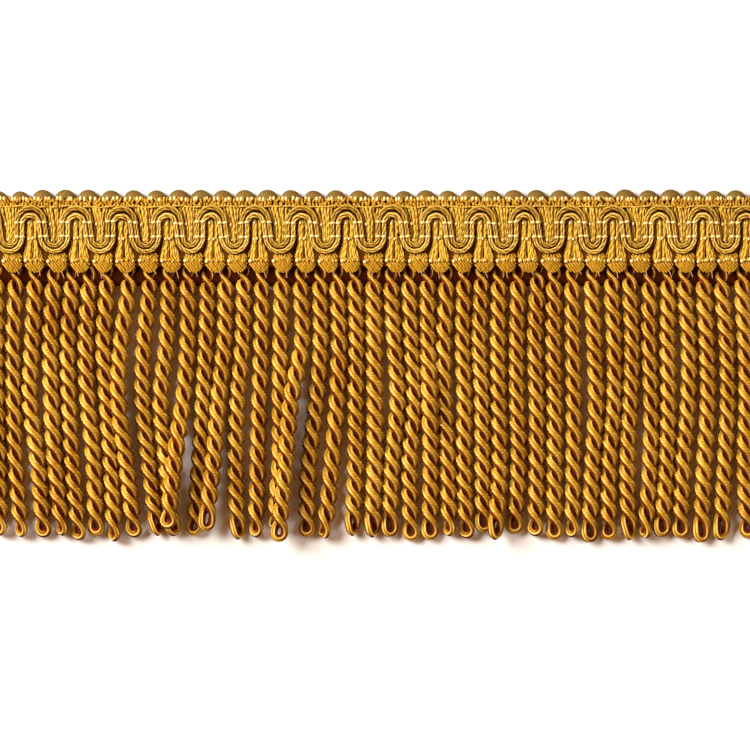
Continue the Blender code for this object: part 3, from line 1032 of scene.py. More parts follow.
@dataclass(frozen=True)
class Bundle:
    """Yarns that run down the heading side by side and gather at the same heights.

    Attributes:
        offset: Share of a repeat from an arch.
        rows: Heights at which the offsets are given.
        yarns: The yarns, from left to right.
        margin: Distance that stays free at each cut end.
        rings: Rings along a yarn.
        end_sink: Depth that a yarn's upper end sinks, over end_share of its length.
        foot_sink: Depth that its lower end sinks, over foot_share of its length.
        jitter: Unevenness of the offsets.
        lift_spread: Unevenness of the yarns' height.
        seat: Height of a yarn's middle over the ground, against its radius.
    """

    offset: float
    rows: tuple[float, ...]
    yarns: tuple[Yarn, ...]
    margin: float
    rings: int
    end_sink: float = 0.25
    end_share: float = 0.1
    foot_sink: float = 0.25
    foot_share: float = 0.12
    jitter: float = 0.06
    lift_spread: float = 0.05
    seat: float = 0.8

    def forms(self, weave: Weave, ground_z: float, random: np.random.Generator) -> Forms:
        """The bundle's yarns at every repeat.

        A yarn's x follows its offsets on a cubic curve through the rows. It lies seat times its
        radius above the ground, plus its lift, and sinks at both ends.

        Args:
            weave: Where the arches lie.
            ground_z: Height of the ground's face.
            random: Source of the unevenness.

        Returns:
            The forms.
        """
        places = weave.places(self.margin, self.offset)
        rows = np.array(self.rows)
        offsets = np.tile(np.array([yarn.offsets for yarn in self.yarns]), (len(places), 1))
        offsets = offsets + random.normal(0.0, self.jitter, offsets.shape)
        middle = np.repeat(weave.arch_x(places), len(self.yarns))[:, None]
        radius = np.tile([yarn.radius for yarn in self.yarns], len(places))[:, None]
        lift = np.tile([yarn.lift for yarn in self.yarns], len(places))[:, None]
        share = np.linspace(0.0, 1.0, self.rings)[None]
        y = rows[0] + (rows[-1] - rows[0]) * share
        x = middle + hermite(-rows, offsets, np.broadcast_to(-y, (len(offsets), self.rings)))
        sink = self.end_sink * (1.0 - np.clip(share / self.end_share, 0.0, 1.0)) ** 2
        foot = self.foot_sink * (1.0 - np.clip((1.0 - share) / self.foot_share, 0.0, 1.0)) ** 2
        z = (ground_z + self.seat * radius + lift - sink - foot
             + random.normal(0.0, self.lift_spread, (len(offsets), 1)))
        thickness = radius * round_ends(self.rings, YARN_END)
        return carry(points_of(x, y, z), thickness, YARN_SIDES).slide(random)


BELL = Bundle(
    offset=0.0, margin=2.3, rings=18, foot_sink=0.45,
    rows=(24.75, 23.8, 22.5, 21.2, 19.8, 18.3, 17.15),
    yarns=(
        Yarn((-0.5, -0.72, -0.78, -0.7, -0.85, -1.12, -1.3), 0.2, -0.1),
        Yarn((-0.3, -0.36, -0.38, -0.36, -0.52, -0.75, -0.88), 0.28, 0.08),
        Yarn((-0.05, 0.0, -0.08, -0.04, -0.16, -0.32, -0.42), 0.29, 0.16),
        Yarn((0.15, 0.22, 0.16, 0.14, 0.12, 0.08, 0.05), 0.2, -0.04),
        Yarn((0.4, 0.58, 0.62, 0.56, 0.6, 0.66, 0.7), 0.24, 0.02),
        Yarn((0.55, 0.76, 0.84, 0.74, 0.92, 1.12, 1.18), 0.25, 0.06),
        Yarn((0.6, 0.84, 0.9, 0.86, 1.2, 1.52, 1.64), 0.24, 0.0),
        Yarn((0.6, 0.88, 0.94, 0.94, 1.42, 1.88, 2.05), 0.22, -0.08),
    ))

FAN = Bundle(
    offset=0.5, margin=2.0, rings=15, jitter=0.08,
    rows=(26.9, 25.9, 24.8, 23.7, 22.4, 21.2, 20.1),
    yarns=(
        Yarn((-1.8, -1.5, -1.15, -0.85, -0.75, -0.62, -0.5), 0.23, -0.08),
        Yarn((-1.2, -1.0, -0.72, -0.48, -0.36, -0.32, -0.25), 0.27, 0.0),
        Yarn((-0.6, -0.42, -0.22, -0.02, 0.06, 0.04, 0.0), 0.31, 0.12),
        Yarn((0.0, 0.1, 0.24, 0.36, 0.44, 0.4, 0.3), 0.29, 0.06),
        Yarn((0.65, 0.66, 0.68, 0.7, 0.76, 0.68, 0.52), 0.27, 0.0),
        Yarn((1.35, 1.2, 1.1, 1.02, 1.0, 0.88, 0.72), 0.25, -0.06),
        Yarn((1.9, 1.7, 1.5, 1.3, 1.16, 1.0, 0.85), 0.2, -0.12),
    ))


class ShortYarn(NamedTuple):
    """A short yarn over a pad's edge: its start from the pad's middle, and how far it runs."""

    x: float
    y: float
    run_x: float
    run_y: float


@dataclass(frozen=True)
class Pads:
    """The bottom scallops: fine yarns laid on the slant over a pad and turned under a bowl.

    Attributes:
        offset: Share of a repeat from an arch.
        top_y: Height of the pad's upper edge.
        middle: X of the pad's middle from its place in the repeat.
        side_y: Height at which the bowl starts at the pad's sides.
        low_y: Height of the bowl's lowest point.
        under_z: Height of the yarns where they run back underneath.
        lay: Sideways run of a yarn for each millimetre down.
        spacing: Distance along the heading from one yarn to the next.
        lead: Distance left of the pad at which the first yarn starts.
        trail: Distance that the last yarn starts short of the pad's right side.
        shortest: Length below which a yarn at the pad's corner is left out.
        puff: Height of the pad at its middle, reached puff_rise below its upper edge.
        bed: Height of the yarns' bed over the ground.
        seat: Height of a yarn's middle over its bed, against its radius.
        sink: Depth that a yarn's upper end sinks, over sink_share of its length.
        tail: Length of the yarn underneath.
        cross: The short yarns over the pad's upper edge.
    """

    weave: Weave
    offset: float
    top_y: float
    middle: float = 0.5
    half_width: float = 1.55
    side_y: float = 17.1
    low_y: float = 15.45
    under_z: float = 1.68
    lay: float = 0.8
    spacing: float = 0.5
    lead: float = 2.3
    trail: float = 0.2
    shortest: float = 0.15
    radius: float = 0.25
    puff: float = 0.45
    puff_rise: float = 1.3
    bed: float = 0.1
    seat: float = 0.8
    sink: float = 0.3
    sink_share: float = 0.15
    tail: float = 0.4
    unevenness: float = 0.03
    margin: float = 1.5
    rings: int = 8
    turn_rings: int = 4
    cross_z: float = 0.66
    cross_arc: float = 0.1
    cross_fall: float = 0.25
    cross_radius: float = 0.2
    cross_sides: int = 8
    cross_end: float = 0.15
    cross_spread: tuple[float, float] = (0.06, 0.05)
    cross: tuple[ShortYarn, ...] = (
        ShortYarn(-1.05, 17.5, 0.1, 1.15), ShortYarn(-0.55, 17.6, -0.1, 1.1),
        ShortYarn(-0.1, 17.45, 0.12, 1.25), ShortYarn(0.35, 17.5, 0.2, 1.2),
        ShortYarn(0.3, 17.2, 1.2, 0.95), ShortYarn(0.75, 17.0, 0.8, 0.8))

    def forms(self, ground_z: float, random: np.random.Generator) -> Forms:
        """The slanted yarns of every pad.

        A yarn runs along x = start + lay * (top - y) between the places where that line comes
        into the pad and leaves it. It rises by puff * bowl(q) over the pad, sinks at its upper
        end, turns in a half circle at its lower end and runs back underneath.

        Args:
            ground_z: Height of the ground's face.
            random: Source of the unevenness.

        Returns:
            The forms.
        """
        places = self.weave.places(self.margin, self.offset)
        starts = np.arange(-self.half_width - self.lead, self.half_width - self.trail,
                           self.spacing)
        starts = starts + random.normal(0.0, self.unevenness, (len(places), len(starts)))
        down = np.linspace(0.0, self.top_y - self.low_y, 240)
        x = starts[..., None] + self.lay * down
        floor_y = self.side_y - (self.side_y - self.low_y) * bowl(x / self.half_width)
        inside = (np.abs(x) < self.half_width) & (self.top_y - down > floor_y + self.radius)
        first = down[np.argmax(inside, axis=-1)]
        last = down[len(down) - 1 - np.argmax(inside[..., ::-1], axis=-1)]
        kept = inside.any(axis=-1) & (last - first > self.shortest)
        centre = np.broadcast_to(self.weave.arch_x(places)[:, None] + self.middle,
                                 starts.shape)[kept][:, None]
        start, first, last = (row[kept][:, None] for row in (starts, first, last))
        share = np.linspace(0.0, 1.0, self.rings)
        down = first + (last - first) * share
        x = start + self.lay * down
        puff = self.puff * bowl(x / self.half_width) * smooth_step(down, 0.0, self.puff_rise)
        lift = random.normal(0.0, self.unevenness, (len(x), 1))
        z = (ground_z + self.bed + self.seat * self.radius + lift + puff
             - self.sink * (1.0 - np.clip(share / self.sink_share, 0.0, 1.0)) ** 2)
        turn = np.linspace(0.0, math.pi, self.turn_rings + 1)[1:]
        half = (z[:, -1:] - self.under_z) / 2.0
        ahead = np.append(self.radius * np.sin(turn), -self.tail)
        down = np.concatenate((down, down[:, -1:] + ahead), axis=1)
        drop = np.append(1.0 - np.cos(turn), 2.0)
        z = np.concatenate((z, z[:, -1:] - half * drop), axis=1)
        x = np.clip(centre + start + self.lay * down, -self.weave.half + self.radius,
                    self.weave.half - self.radius)
        thickness = self.radius * round_ends(x.shape[1], YARN_END)
        return carry(points_of(x, self.top_y - down, z), thickness, YARN_SIDES).slide(random)

    def cross_forms(self, ground_z: float, random: np.random.Generator) -> Forms:
        """Short yarns over each pad's upper edge, some upright and two laid the other way.

        A yarn runs straight, in an arc of cross_arc height that falls by cross_fall on its way.

        Args:
            ground_z: Height of the ground's face.
            random: Source of the unevenness.

        Returns:
            The forms.
        """
        places = self.weave.places(self.margin + 1.0, self.offset)
        share = np.linspace(0.0, 1.0, self.rings)
        rows = []
        spread_x, spread_y = self.cross_spread
        for yarn in self.cross:
            x = self.weave.arch_x(places)[:, None] + self.middle + yarn.x + yarn.run_x * share
            x = x + random.normal(0.0, spread_x, (len(places), 1))
            y = yarn.y + yarn.run_y * share + random.normal(0.0, spread_y, (len(places), 1))
            z = (ground_z + self.cross_z + self.cross_arc * np.sin(math.pi * share)
                 - self.cross_fall * share)
            rows.append(points_of(x, y, z))
        thickness = self.cross_radius * round_ends(self.rings, self.cross_end)
        return carry(np.concatenate(rows), thickness, self.cross_sides).slide(random)


@dataclass(frozen=True)
class HeadingYarns:
    """The bells in the arches, the pads and fans between them and the collar at the top.

    Attributes:
        ground_z: Height of the ground's face.
        collar_pitch: Distance from one short yarn of the collar to the next.
        collar_rows: Upper and lower end of the yarns in each row.
        collar_jitter: Unevenness of a yarn's place along the heading.
        collar_slip: Range of its unevenness up and down.
        collar_lean: Unevenness of its lean, as a distance at each end.
        collar_bed: Height of a yarn's middle over the ground, and of the arc that it makes.
        collar_lift: Range of its unevenness in height.
        collar_sizes: Range of its radius against collar_radius.
        collar_end: Share of a yarn's length that each round end takes.
    """

    weave: Weave
    ground_z: float = 1.4
    collar_pitch: float = 0.52
    collar_rows: tuple[tuple[float, float], ...] = ((28.3, 27.15), (27.55, 26.4))
    collar_radius: float = 0.28
    collar_jitter: float = 0.1
    collar_slip: tuple[float, float] = (-0.2, 0.1)
    collar_lean: float = 0.26
    collar_bed: float = 0.12
    collar_lift: float = 0.22
    collar_sizes: tuple[float, float] = (0.75, 1.1)
    collar_end: float = 0.3
    collar_rings: int = 6

    def collar(self, random: np.random.Generator) -> Forms:
        """Two rows of short yarns that lean to and fro along the whole heading.

        Args:
            random: Source of the unevenness.

        Returns:
            The forms.
        """
        half = self.weave.half - self.collar_radius
        x = np.arange(-half, half, self.collar_pitch)
        rings = self.collar_rings
        y = np.repeat([np.linspace(*row, rings) for row in self.collar_rows], len(x), axis=0)
        x = np.tile(x, len(self.collar_rows)) + random.normal(0.0, self.collar_jitter, len(y))
        y = y + random.uniform(*self.collar_slip, (len(x), 1))
        lean = (random.normal(0.0, self.collar_lean, (len(x), 1))
                * np.linspace(-1.0, 1.0, rings))
        lift = random.uniform(0.0, self.collar_lift, (len(x), 1))
        arc = np.sin(np.linspace(0.0, math.pi, rings))
        z = self.ground_z + self.collar_bed + lift + self.collar_bed * arc
        side = np.clip(x[:, None] + lean, -half, half)
        radius = self.collar_radius * random.uniform(*self.collar_sizes, (len(x), 1))
        thickness = radius * round_ends(rings, self.collar_end)
        return carry(points_of(side, y, z), thickness, YARN_SIDES).slide(random)

    def build(self, maker: Maker) -> None:
        """Make the yarns as one piece for each bundle.

        Args:
            maker: Puts them into the scene.
        """
        random = np.random.default_rng(SEED + 1)
        for name, bundle, finish in (("bell_yarns", BELL, BELL_YARN),
                                     ("fan_yarns", FAN, GIMP_YARN)):
            maker.piece(name, [bundle.forms(self.weave, self.ground_z, random)], finish)
        pads, caps = Pads(self.weave, 0.5, 18.75), Pads(self.weave, 0.0, 18.0)
        maker.piece("pad_yarns", [pads.forms(self.ground_z, random),
                                  pads.cross_forms(self.ground_z, random),
                                  caps.forms(self.ground_z, random)], HEM_YARN)
        maker.piece("collar_yarns", [self.collar(random)], HEM_YARN)


@dataclass(frozen=True)
class Picots:
    """The turned yarns of the top edge: round coils, one over each leg of the scroll.

    Attributes:
        reach_y: Half of a coil's height up the heading.
        coils: Turns of yarn from the rim to the middle.
        relief: Depth of the grooves between the turns, against the coil's size.
        shade: Painted shade: crest gained on a turn and lost in a groove.
        blunt: Power of sin p in a ring's radius, less than one for a fuller rim.
    """

    weave: Weave
    half_width: float = 1.74
    centre_y: float = 27.95
    reach_y: float = 1.6
    centre_z: float = 0.66
    half_height: float = 0.62
    coils: float = 4.5
    relief: float = 0.045
    shade: float = 0.15
    blunt: float = 0.9
    size_spread: float = 0.04
    rings: int = 24
    sides: int = 24
    margin: float = 1.2

    def forms(self) -> Forms:
        """Flattened domes with ridges round them.

        A ring at polar angle p has the radius (sin p)^blunt and the height -cos p, both times
        1 + relief * cos(2 pi coils sin p), so that the coils run parallel to the rim.

        Returns:
            The forms.
        """
        random = np.random.default_rng(SEED + 3)
        places = self.weave.places(self.margin, 0.25, 0.75)
        polar = np.linspace(0.03, 0.97, self.rings) * math.pi
        angle = math.tau * np.arange(self.sides) / self.sides
        ridges = np.cos(math.tau * self.coils * np.sin(polar))
        swell = 1.0 + self.relief * ridges
        size = random.normal(1.0, self.size_spread, (len(places), 1, 1))
        spread = (swell * np.sin(polar) ** self.blunt)[None, :, None] * size
        x = self.weave.arch_x(places)[:, None, None] + self.half_width * spread * np.cos(angle)
        y = self.centre_y - self.reach_y * spread * np.sin(angle)
        z = self.centre_z - self.half_height * (swell * np.cos(polar))[None, :, None]
        x = np.clip(x, -self.weave.half, self.weave.half)
        along = np.broadcast_to(polar, (len(places), len(polar)))
        # Painted light and shade: each dome lighter towards its top, darker underneath and in the
        # grooves between its turns.
        crest = 0.5 - 0.5 * np.cos(polar) + self.shade * ridges
        return Forms(points_of(x, y, z), along, np.broadcast_to(crest[:, None], x.shape))

    def build(self, maker: Maker) -> None:
        """Make the top scallops."""
        maker.piece("top_scallops", [self.forms()], SCALLOP_YARN)


class Dot(NamedTuple):
    """A stitch that shows as a dot: its place in the repeat and off it, and its size.

    The first arch is the one from which on the dot shows.
    """

    place: float
    x: float
    y: float
    z: float
    half_width: float
    half_length: float
    first: float = -9.0


PICOT_DOTS = tuple(Dot(place, x, 27.95, z, 0.24, 0.42) for place in (0.25, 0.75)
                   for x, z in ((-1.28, 1.82), (-0.68, 1.88), (0.55, 1.88), (1.15, 1.82)))


@dataclass(frozen=True)
class Stitches:
    """The cream threads: dots over the yarns, the line along the top and the leg stitches.

    Attributes:
        leg_y: Heights of the stitches on the scroll's legs.
        leg_half: Half of a leg stitch's width.
        leg_rise: Height of its arc over each cord.
        leg_thin: Share of its radius that is left where it dips between the cords.
        line_step: Distance between the rings of the line.
        line_wave: Length of two of the line's stitches.
        line_waver: Depth of its waver up and down the heading.
        line_drift: Depth of its slow drift, which goes by drift_rate radians a millimetre.
        line_relief: Height of its stitches.
        line_twist: Length of a swelling of its thread.
        line_swell: Share of the radius by which it swells and shrinks.
        arc: Angle from the middle of a leg stitch to its end.
        dot_height: Half height of a dot.
        dot_spread: Unevenness of a dot's place.
    """

    weave: Weave
    leg_y: tuple[float, float] = (23.95, 21.55)
    leg_half: float = 0.9
    leg_radius: float = 0.28
    leg_rise: float = 0.4
    leg_thin: float = 0.35
    line_y: float = 26.65
    line_z: float = 1.86
    line_radius: float = 0.16
    line_step: float = 0.13
    line_wave: float = 3.8
    line_waver: float = 0.06
    line_drift: float = 0.09
    drift_rate: float = 0.7
    line_relief: float = 0.07
    line_twist: float = 0.52
    line_swell: float = 0.25
    arc: float = 0.98 * math.pi
    dot_height: float = 0.2
    dot_spread: tuple[float, float, float] = (0.08, 0.06, 0.015)
    margin: float = 0.6
    dots: tuple[Dot, ...] = PICOT_DOTS + (
        Dot(0.0, -0.25, 23.8, 2.0, 0.22, 0.32), Dot(0.0, -0.36, 21.2, 2.0, 0.24, 0.32),
        Dot(0.0, 0.32, 21.2, 2.0, 0.2, 0.3),
        Dot(0.5, -0.55, 23.65, 1.95, 0.23, 0.33), Dot(0.5, -0.2, 21.0, 1.95, 0.2, 0.3),
        Dot(0.0, -0.9, 17.4, 2.34, 0.32, 0.36), Dot(0.5, -0.9, 17.4, 2.34, 0.32, 0.36),
        Dot(0.0, 0.5, 17.6, 2.36, 0.24, 0.32, 9.0), Dot(0.0, 1.3, 17.6, 2.34, 0.24, 0.32, 11.0),
        Dot(0.5, 0.15, 17.65, 2.36, 0.22, 0.32, 9.0), Dot(0.5, 1.2, 17.6, 2.34, 0.22, 0.32, 11.0),
    )
    knots: tuple[Dot, ...] = (
        Dot(0.0, -0.25, 17.5, 2.3, 0.19, 0.28), Dot(0.0, 0.15, 17.45, 2.32, 0.17, 0.25),
        Dot(0.0, 0.85, 17.5, 2.32, 0.18, 0.26), Dot(0.0, 1.75, 17.45, 2.2, 0.2, 0.28),
        Dot(0.5, -0.3, 17.55, 2.3, 0.2, 0.28), Dot(0.5, 0.55, 17.65, 2.34, 0.18, 0.26),
        Dot(0.5, 1.5, 17.5, 2.26, 0.2, 0.3), Dot(0.5, 1.95, 17.4, 2.1, 0.2, 0.3),
    )

    def dot_forms(self, dots: tuple[Dot, ...], random: np.random.Generator) -> list[Forms]:
        """Every dot at every repeat, a little uneven.

        Args:
            dots: The dots of a repeat.
            random: Source of the unevenness.

        Returns:
            The forms, in the dots' order.
        """
        made = []
        for dot in dots:
            places = self.weave.places(self.margin + abs(dot.x), dot.place)
            x = self.weave.arch_x(places[places >= dot.first]) + dot.x
            centres = points_of(x, dot.y, dot.z)
            centres = centres + random.normal(0.0, self.dot_spread, centres.shape)
            made.append(beads(centres, (dot.half_width, dot.half_length, self.dot_height)))
        return made

    def line(self) -> Forms:
        """The thread along the top of the arches, thick and thin by its stitches.

        Its y is line_waver * sin w + line_drift * sin(drift_rate * x) from line_y, and its z
        is line_relief * sin 2w from line_z, where w is 2 pi x / line_wave.

        Returns:
            The form.
        """
        x = np.arange(-self.weave.half, self.weave.half, self.line_step)
        wave = math.tau * x / self.line_wave
        y = (self.line_y + self.line_waver * np.sin(wave)
             + self.line_drift * np.sin(self.drift_rate * x))
        z = self.line_z + self.line_relief * np.sin(2.0 * wave)
        swell = np.cos(math.tau * x / self.line_twist)
        radius = self.line_radius * (1.0 + self.line_swell * swell)
        return carry(points_of(x, y, z)[None], radius[None], YARN_SIDES)

    def leg_forms(self, pair: "Scroll", random: np.random.Generator) -> Forms:
        """Short stitches over both cords at the top and the foot of each leg.

        Args:
            pair: The cords that they hold.
            random: Source of the unevenness.

        Returns:
            The forms: arcs that rise over each cord and dip between the two.
        """
        places = np.concatenate([pair.legs(height) for height in self.leg_y])
        y = np.repeat(self.leg_y, len(places) // len(self.leg_y))
        y = y + random.normal(0.0, 0.06, len(places))
        across = np.linspace(-1.0, 1.0, 13)
        x = places[:, None] + self.leg_half * across
        hump = np.abs(np.sin(across * self.arc))
        slope = random.normal(0.0, 0.06, (len(places), 1)) * across
        z = pair.base_z + pair.clearance + self.leg_rise * hump
        radius = self.leg_radius * (self.leg_thin + (1.0 - self.leg_thin) * hump)
        return carry(points_of(x, y[:, None] + slope, z), radius, YARN_SIDES)

    def build(self, maker: Maker, pair: "Scroll") -> None:
        """Make the dots, the line and the leg stitches.

        Args:
            maker: Puts them into the scene.
            pair: The cords that the leg stitches hold.
        """
        random = np.random.default_rng(SEED + 4)
        maker.piece("stitch_dots", self.dot_forms(self.dots, random), STITCH_THREAD)
        maker.piece("hem_knots", self.dot_forms(self.knots, random), TOP_THREAD)
        maker.piece("top_thread", [self.line()], TOP_THREAD)
        maker.piece("leg_stitches", [self.leg_forms(pair, random)], STITCH_THREAD)


@dataclass(frozen=True)
class Scroll:
    """The meander of two cords, each of two fine cords side by side.

    Attributes:
        leg_offset: Distance of each cord from the pair's line at the legs.
        arch_offset: The same at the top of an arch.
        u_offset: The same at the foot of a U-turn.
        left_leg: Distance of an arch's left leg from its middle.
        right_leg: Distance of its right leg, which runs lean further out at its foot.
        arch_y: Height at which the arches start.
        u_y: Height at which the U-turns start.
        arch_swell: Share by which a cord is wider at the top of an arch.
        half_pair: Half of the distance between the fine cords' middles.
        upper_shade: Painted light: crest gained for each millimetre towards a fine cord's upper
            side.
        waver: Depth of the cords' unevenness, which wavers by waver_rates along x and y.
    """

    weave: Weave
    leg_offset: float = 0.49
    arch_offset: float = 0.68
    u_offset: float = 0.47
    left_leg: float = 1.97
    right_leg: float = 1.8
    lean: float = 0.3
    arch_y: float = 23.7
    u_y: float = 21.5
    arch_reach: float = 2.08
    u_reach: float = 2.02
    arch_swell: float = 0.24
    half_pair: float = 0.19
    radius: float = 0.22
    upper_shade: float = 0.36
    base_z: float = 2.0
    clearance: float = 0.05
    waver: float = 0.03
    waver_rates: tuple[float, float] = (1.9, 2.3)
    lay: Lay = Lay(3, 0.04, 1.3)
    cord_sides: int = 12
    turn_points: int = 26
    leg_points: int = 7

    def legs(self, height: float) -> np.ndarray:
        """X of the pair's line at each leg, at one height.

        Args:
            height: Y at which the legs are asked for.

        Returns:
            The places, from left to right.
        """
        arches = self.weave.arch_x(np.arange(len(self.weave.shifts)))
        down = (self.arch_y - height) / (self.arch_y - self.u_y)
        right = arches + self.right_leg + self.lean * np.clip(down, 0.0, 1.0)
        return np.sort(np.concatenate((arches - self.left_leg, right)))

    def line(self, side: int) -> np.ndarray:
        """Centre line of one cord.

        An arch is half an ellipse from its left leg over to its right leg, a U-turn is half an
        ellipse that hangs from that leg to the next arch's left leg, and straight legs join
        them. The cord lies outside the pair's line over an arch and inside it at a U-turn, by
        leg_offset at the legs and arch_offset or u_offset at the turns. It is wider by
        arch_swell * sin a over an arch.

        Args:
            side: One for the cord outside the arches, minus one for the cord inside them.

        Returns:
            Points in order with their x, y and width, shape (points, 3).
        """
        arches = self.weave.arch_x(np.arange(-1, len(self.weave.shifts) + 1))
        left = arches - self.left_leg - side * self.leg_offset
        right = arches + self.right_leg + side * self.leg_offset
        foot = right + self.lean
        angle = np.linspace(0.0, math.pi, self.turn_points)

        def half_ellipse(start: np.ndarray, end: np.ndarray) -> np.ndarray:
            """X from one end of each half ellipse to its other end."""
            return (start + end)[:, None] / 2.0 - (end - start)[:, None] / 2.0 * np.cos(angle)

        over_x = half_ellipse(left[:-1], right[:-1])
        under_x = half_ellipse(foot[:-1], left[1:])
        random = np.random.default_rng(SEED + 2)
        grow = random.normal(1.0, 0.03, (2, len(arches) - 1, 1))
        over_y = (self.arch_y + (self.arch_reach * grow[0] + side * self.arch_offset)
                  * np.sin(angle))
        under_y = (self.u_y - (self.u_reach * grow[1] - side * self.u_offset)
                   * np.sin(angle))
        leg = np.linspace(0.0, 1.0, self.leg_points + 2)[1:-1]
        leg_y = np.broadcast_to(self.arch_y + (self.u_y - self.arch_y) * leg,
                                (len(over_x), self.leg_points))
        down_x = right[:-1, None] + self.lean * leg
        up_x = np.broadcast_to(left[1:, None], down_x.shape)
        x = np.concatenate((over_x, down_x, under_x, up_x), axis=1).ravel()
        y = np.concatenate((over_y, leg_y, under_y, leg_y[:, ::-1]), axis=1).ravel()
        width = np.ones((len(over_x), len(angle) * 2 + self.leg_points * 2))
        width[:, :len(angle)] += self.arch_swell * np.sin(angle)
        inside = np.abs(x) < self.weave.half - self.half_pair - self.radius
        first, last = np.flatnonzero(inside)[[0, -1]]
        return np.stack((x, y, width.ravel()), axis=-1)[first:last + 1]

    def forms(self, cord: Cord) -> Forms:
        """The two fine cords of one cord, painted lighter on their upper sides.

        Args:
            cord: Which of the two cords.

        Returns:
            The forms, one for each fine cord.
        """
        line = self.line(cord.value)
        heading = unit(np.gradient(line[:, :2], axis=0))
        beside = np.stack((-heading[:, 1], heading[:, 0]), axis=-1)
        width = line[:, 2:]
        sides = np.array((-self.half_pair, self.half_pair))[:, None, None]
        flat = line[:, :2] + sides * width * beside
        flat = flat + self.waver * np.sin(np.array(self.waver_rates) * line[:, :2] + cord.value)
        height = self.base_z + self.radius * width[:, 0] + self.clearance
        path = points_of(flat[..., 0], flat[..., 1], height)
        forms = carry(path, self.radius * width[:, 0], self.cord_sides, lay=self.lay)
        # Painted light: each fine cord lighter towards its upper side.
        forms.crest = forms.crest + self.upper_shade * (forms.rings[..., 1] - line[:, 1, None])
        return forms

    def build(self, maker: Maker) -> None:
        """Make both cords.

        Args:
            maker: Puts them into the scene.
        """
        for cord in Cord:
            name = f"scroll_cord_{cord.name.lower()}"
            finish = OUTER_CORD if cord is Cord.UPPER else INNER_CORD
            maker.piece(name + "_twin", [self.forms(cord)], finish, name)


@dataclass(frozen=True)
class RootBand:
    """The narrow woven band that grips the strands' plies behind the bottom edge.

    Attributes:
        pick: Distance from one rib of the band to the next.
        relief: Depth between the ribs, against the band's size.
        power: Power of the section's sine and cosine, less than one for a squarer bar.
        dark_crest: Crest of the whole band, which picks its darkest colour, a painted shade.
        thread_length: Range of the lengths of the thread ends.
        thread_rise: Height that a thread end gains on its way over the strands.
        margin: Distance from each cut end that stays free of thread ends.
    """

    weave: Weave
    low_y: float = 13.1
    high_y: float = 17.2
    low_z: float = 0.03
    high_z: float = 1.1
    pick: float = 0.55
    relief: float = 0.05
    power: float = 0.45
    sides: int = 12
    dark_crest: float = 0.2
    thread_rings: int = 12
    thread_length: tuple[float, float] = (1.0, 1.9)
    thread_y: float = 16.2
    thread_z: float = 1.9
    thread_rise: float = 0.55
    thread_radius: float = 0.08
    margin: float = 2.6

    def forms(self) -> Forms:
        """A rounded bar along the fringe, ribbed across as relief * cos(2 pi x / pick).

        Its section's y is the sign of cos a times |cos a|^power and its z the same of sin a.

        Returns:
            The form.
        """
        columns = int(self.weave.length / self.pick) * 4 + 1
        x = np.linspace(-self.weave.half, self.weave.half, columns)
        angle = -math.pi / 2.0 - math.tau * np.arange(self.sides) / self.sides
        cosine, sine = (np.sign(wave) * np.abs(wave) ** self.power
                        for wave in (np.cos(angle), np.sin(angle)))
        swell = (1.0 - self.relief + self.relief * np.cos(math.tau * x / self.pick))[:, None]
        half_y, half_z = (self.high_y - self.low_y) / 2.0, (self.high_z - self.low_z) / 2.0
        y = (self.high_y + self.low_y) / 2.0 + half_y * cosine * swell
        z = (self.high_z + self.low_z) / 2.0 + half_z * sine * swell
        rings = points_of(x[:, None], y, z)[None]
        # Painted shade: the band reaches down under the strands' tops in its darkest colour,
        # standing for the shade between them.
        return Forms(rings, x[None], np.full(rings.shape[:3], self.dark_crest))

    def tails(self) -> Forms:
        """Thin threads that hang into the gaps between the bottom scallops.

        Returns:
            The forms, one for each gap.
        """
        random = np.random.default_rng(SEED + 5)
        places = self.weave.places(self.margin, 0.0, 0.5)
        x = self.weave.arch_x(places)[:, None] + random.uniform(0.1, 1.4, (len(places), 1))
        share = np.linspace(0.0, 1.0, self.thread_rings)[None]
        y = self.thread_y - random.uniform(*self.thread_length, (len(places), 1)) * share
        x = x + random.uniform(0.1, 0.8, (len(places), 1)) * share
        z = self.thread_z + self.thread_rise * np.sin(0.5 * math.pi * share)
        thickness = self.thread_radius * round_ends(self.thread_rings, 0.05)
        return carry(points_of(x, y, z), thickness, YARN_SIDES)

    def build(self, maker: Maker) -> None:
        """Make the band and the thread ends."""
        maker.piece("root_band", [self.forms()], ROOT_SHADE_YARN, SKIRT_NODE)
        maker.piece("gap_threads", [self.tails()], GAP_THREAD)


# Light and camera

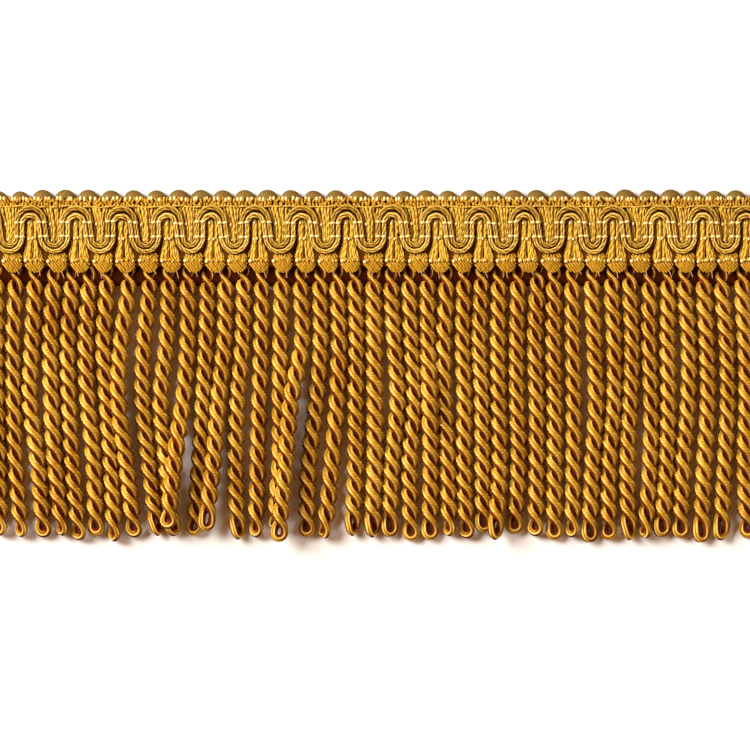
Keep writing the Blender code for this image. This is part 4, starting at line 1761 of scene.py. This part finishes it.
@dataclass(frozen=True)
class Studio:
    """A pale floor, soft light from the upper left and a long lens straight above.

    Attributes:
        view_width: Width of the view at the floor.
        view_centre_y: Y of the view's middle.
        distance: Height of the camera.
        sensor: Width of the camera's sensor.
        floor_half: Half of the floor's side, in metres.
        paper: Colour of the floor.
        surround: Colour of the light from all round, and its strength.
    """

    view_width: float = 127.5
    view_centre_y: float = -1.955
    distance: float = 1600.0
    sensor: float = 36.0
    floor_half: float = 1.5
    paper: Colour = (0.88, 0.88, 0.88)
    surround: Colour = (1.0, 0.45, 0.16)
    surround_strength: float = 0.28

    def floor(self) -> None:
        """A large pale plane that the fringe lies on."""
        mesh = bpy.data.meshes.new("floor")
        corners = self.floor_half * np.array(((-1, -1, 0), (1, -1, 0), (1, 1, 0), (-1, 1, 0)))
        mesh.from_pydata(corners.tolist(), [], [(0, 1, 2, 3)])
        plane = bpy.data.objects.new("floor", mesh)
        bench = NodeBench("white_paper")
        bench.shader.inputs["Base Color"].default_value = (*self.paper, 1.0)
        bench.shader.inputs["Roughness"].default_value = 0.9
        bench.shader.inputs["Specular IOR Level"].default_value = 0.27
        mesh.materials.append(bench.material)
        bpy.context.scene.collection.objects.link(plane)

    def lamp(self, name: str, azimuth: float, elevation: float, distance: float, size: float,
             power: float, colour: Colour) -> None:
        """A square lamp that points at the fringe.

        Args:
            name: Name of the lamp.
            azimuth: Degrees anticlockwise from +X to the lamp, seen from above.
            elevation: Degrees above the floor.
            distance: Metres from the fringe.
            size: Side of the lamp in metres.
            power: Watts.
            colour: Light colour.
        """
        light = bpy.data.lights.new(name, "AREA")
        light.shape = "SQUARE"
        light.size = size
        light.energy = power
        light.color = colour
        lamp = bpy.data.objects.new(name, light)
        turn, tilt = math.radians(azimuth), math.radians(elevation)
        lamp.location = (distance * math.cos(tilt) * math.cos(turn),
                         distance * math.cos(tilt) * math.sin(turn), distance * math.sin(tilt))
        lamp.rotation_euler = (math.pi / 2.0 - tilt, 0.0, turn + math.pi / 2.0)
        bpy.context.scene.collection.objects.link(lamp)

    def lights(self) -> None:
        """A key lamp from the left, a weak one from the right and a dim surround."""
        self.lamp("key", azimuth=152.0, elevation=35.0, distance=1.4, size=0.8, power=43.0,
                  colour=(1.0, 0.985, 0.95))
        self.lamp("fill", azimuth=8.0, elevation=42.0, distance=1.6, size=0.9, power=8.5,
                  colour=(1.0, 0.95, 0.86))
        world = bpy.data.worlds.new("surround")
        world.use_nodes = True
        background = world.node_tree.nodes["Background"]
        background.inputs["Color"].default_value = (*self.surround, 1.0)
        background.inputs["Strength"].default_value = self.surround_strength
        bpy.context.scene.world = world

    def camera(self) -> None:
        """The camera above the photograph's centre, looking straight down."""
        lens = bpy.data.cameras.new("camera")
        lens.sensor_width = self.sensor
        lens.lens = self.sensor * self.distance / self.view_width
        lens.clip_end = 20.0
        camera = bpy.data.objects.new("camera", lens)
        camera.location = (0.0, self.view_centre_y * MM, self.distance * MM)
        bpy.context.scene.collection.objects.link(camera)
        bpy.context.scene.camera = camera

    def build(self) -> None:
        """Set up the floor, the light and the camera."""
        self.floor()
        self.lights()
        self.camera()
        bpy.context.scene.view_settings.view_transform = "Standard"


def main() -> None:
    """Build the studio and the fringe, piece by piece."""
    logging.basicConfig(level=logging.INFO, format="%(message)s")
    weave = Weave()
    maker = Maker()
    Studio().build()
    scroll = Scroll(weave)
    HeadingGround(weave).build(maker)
    HeadingYarns(weave).build(maker)
    Picots(weave).build(maker)
    scroll.build(maker)
    Stitches(weave).build(maker, scroll)
    RootBand(weave).build(maker)
    Skirt(weave).build(maker)
    LOG.info("%d triangles", maker.triangles)


if __name__ == "__main__":
    main()
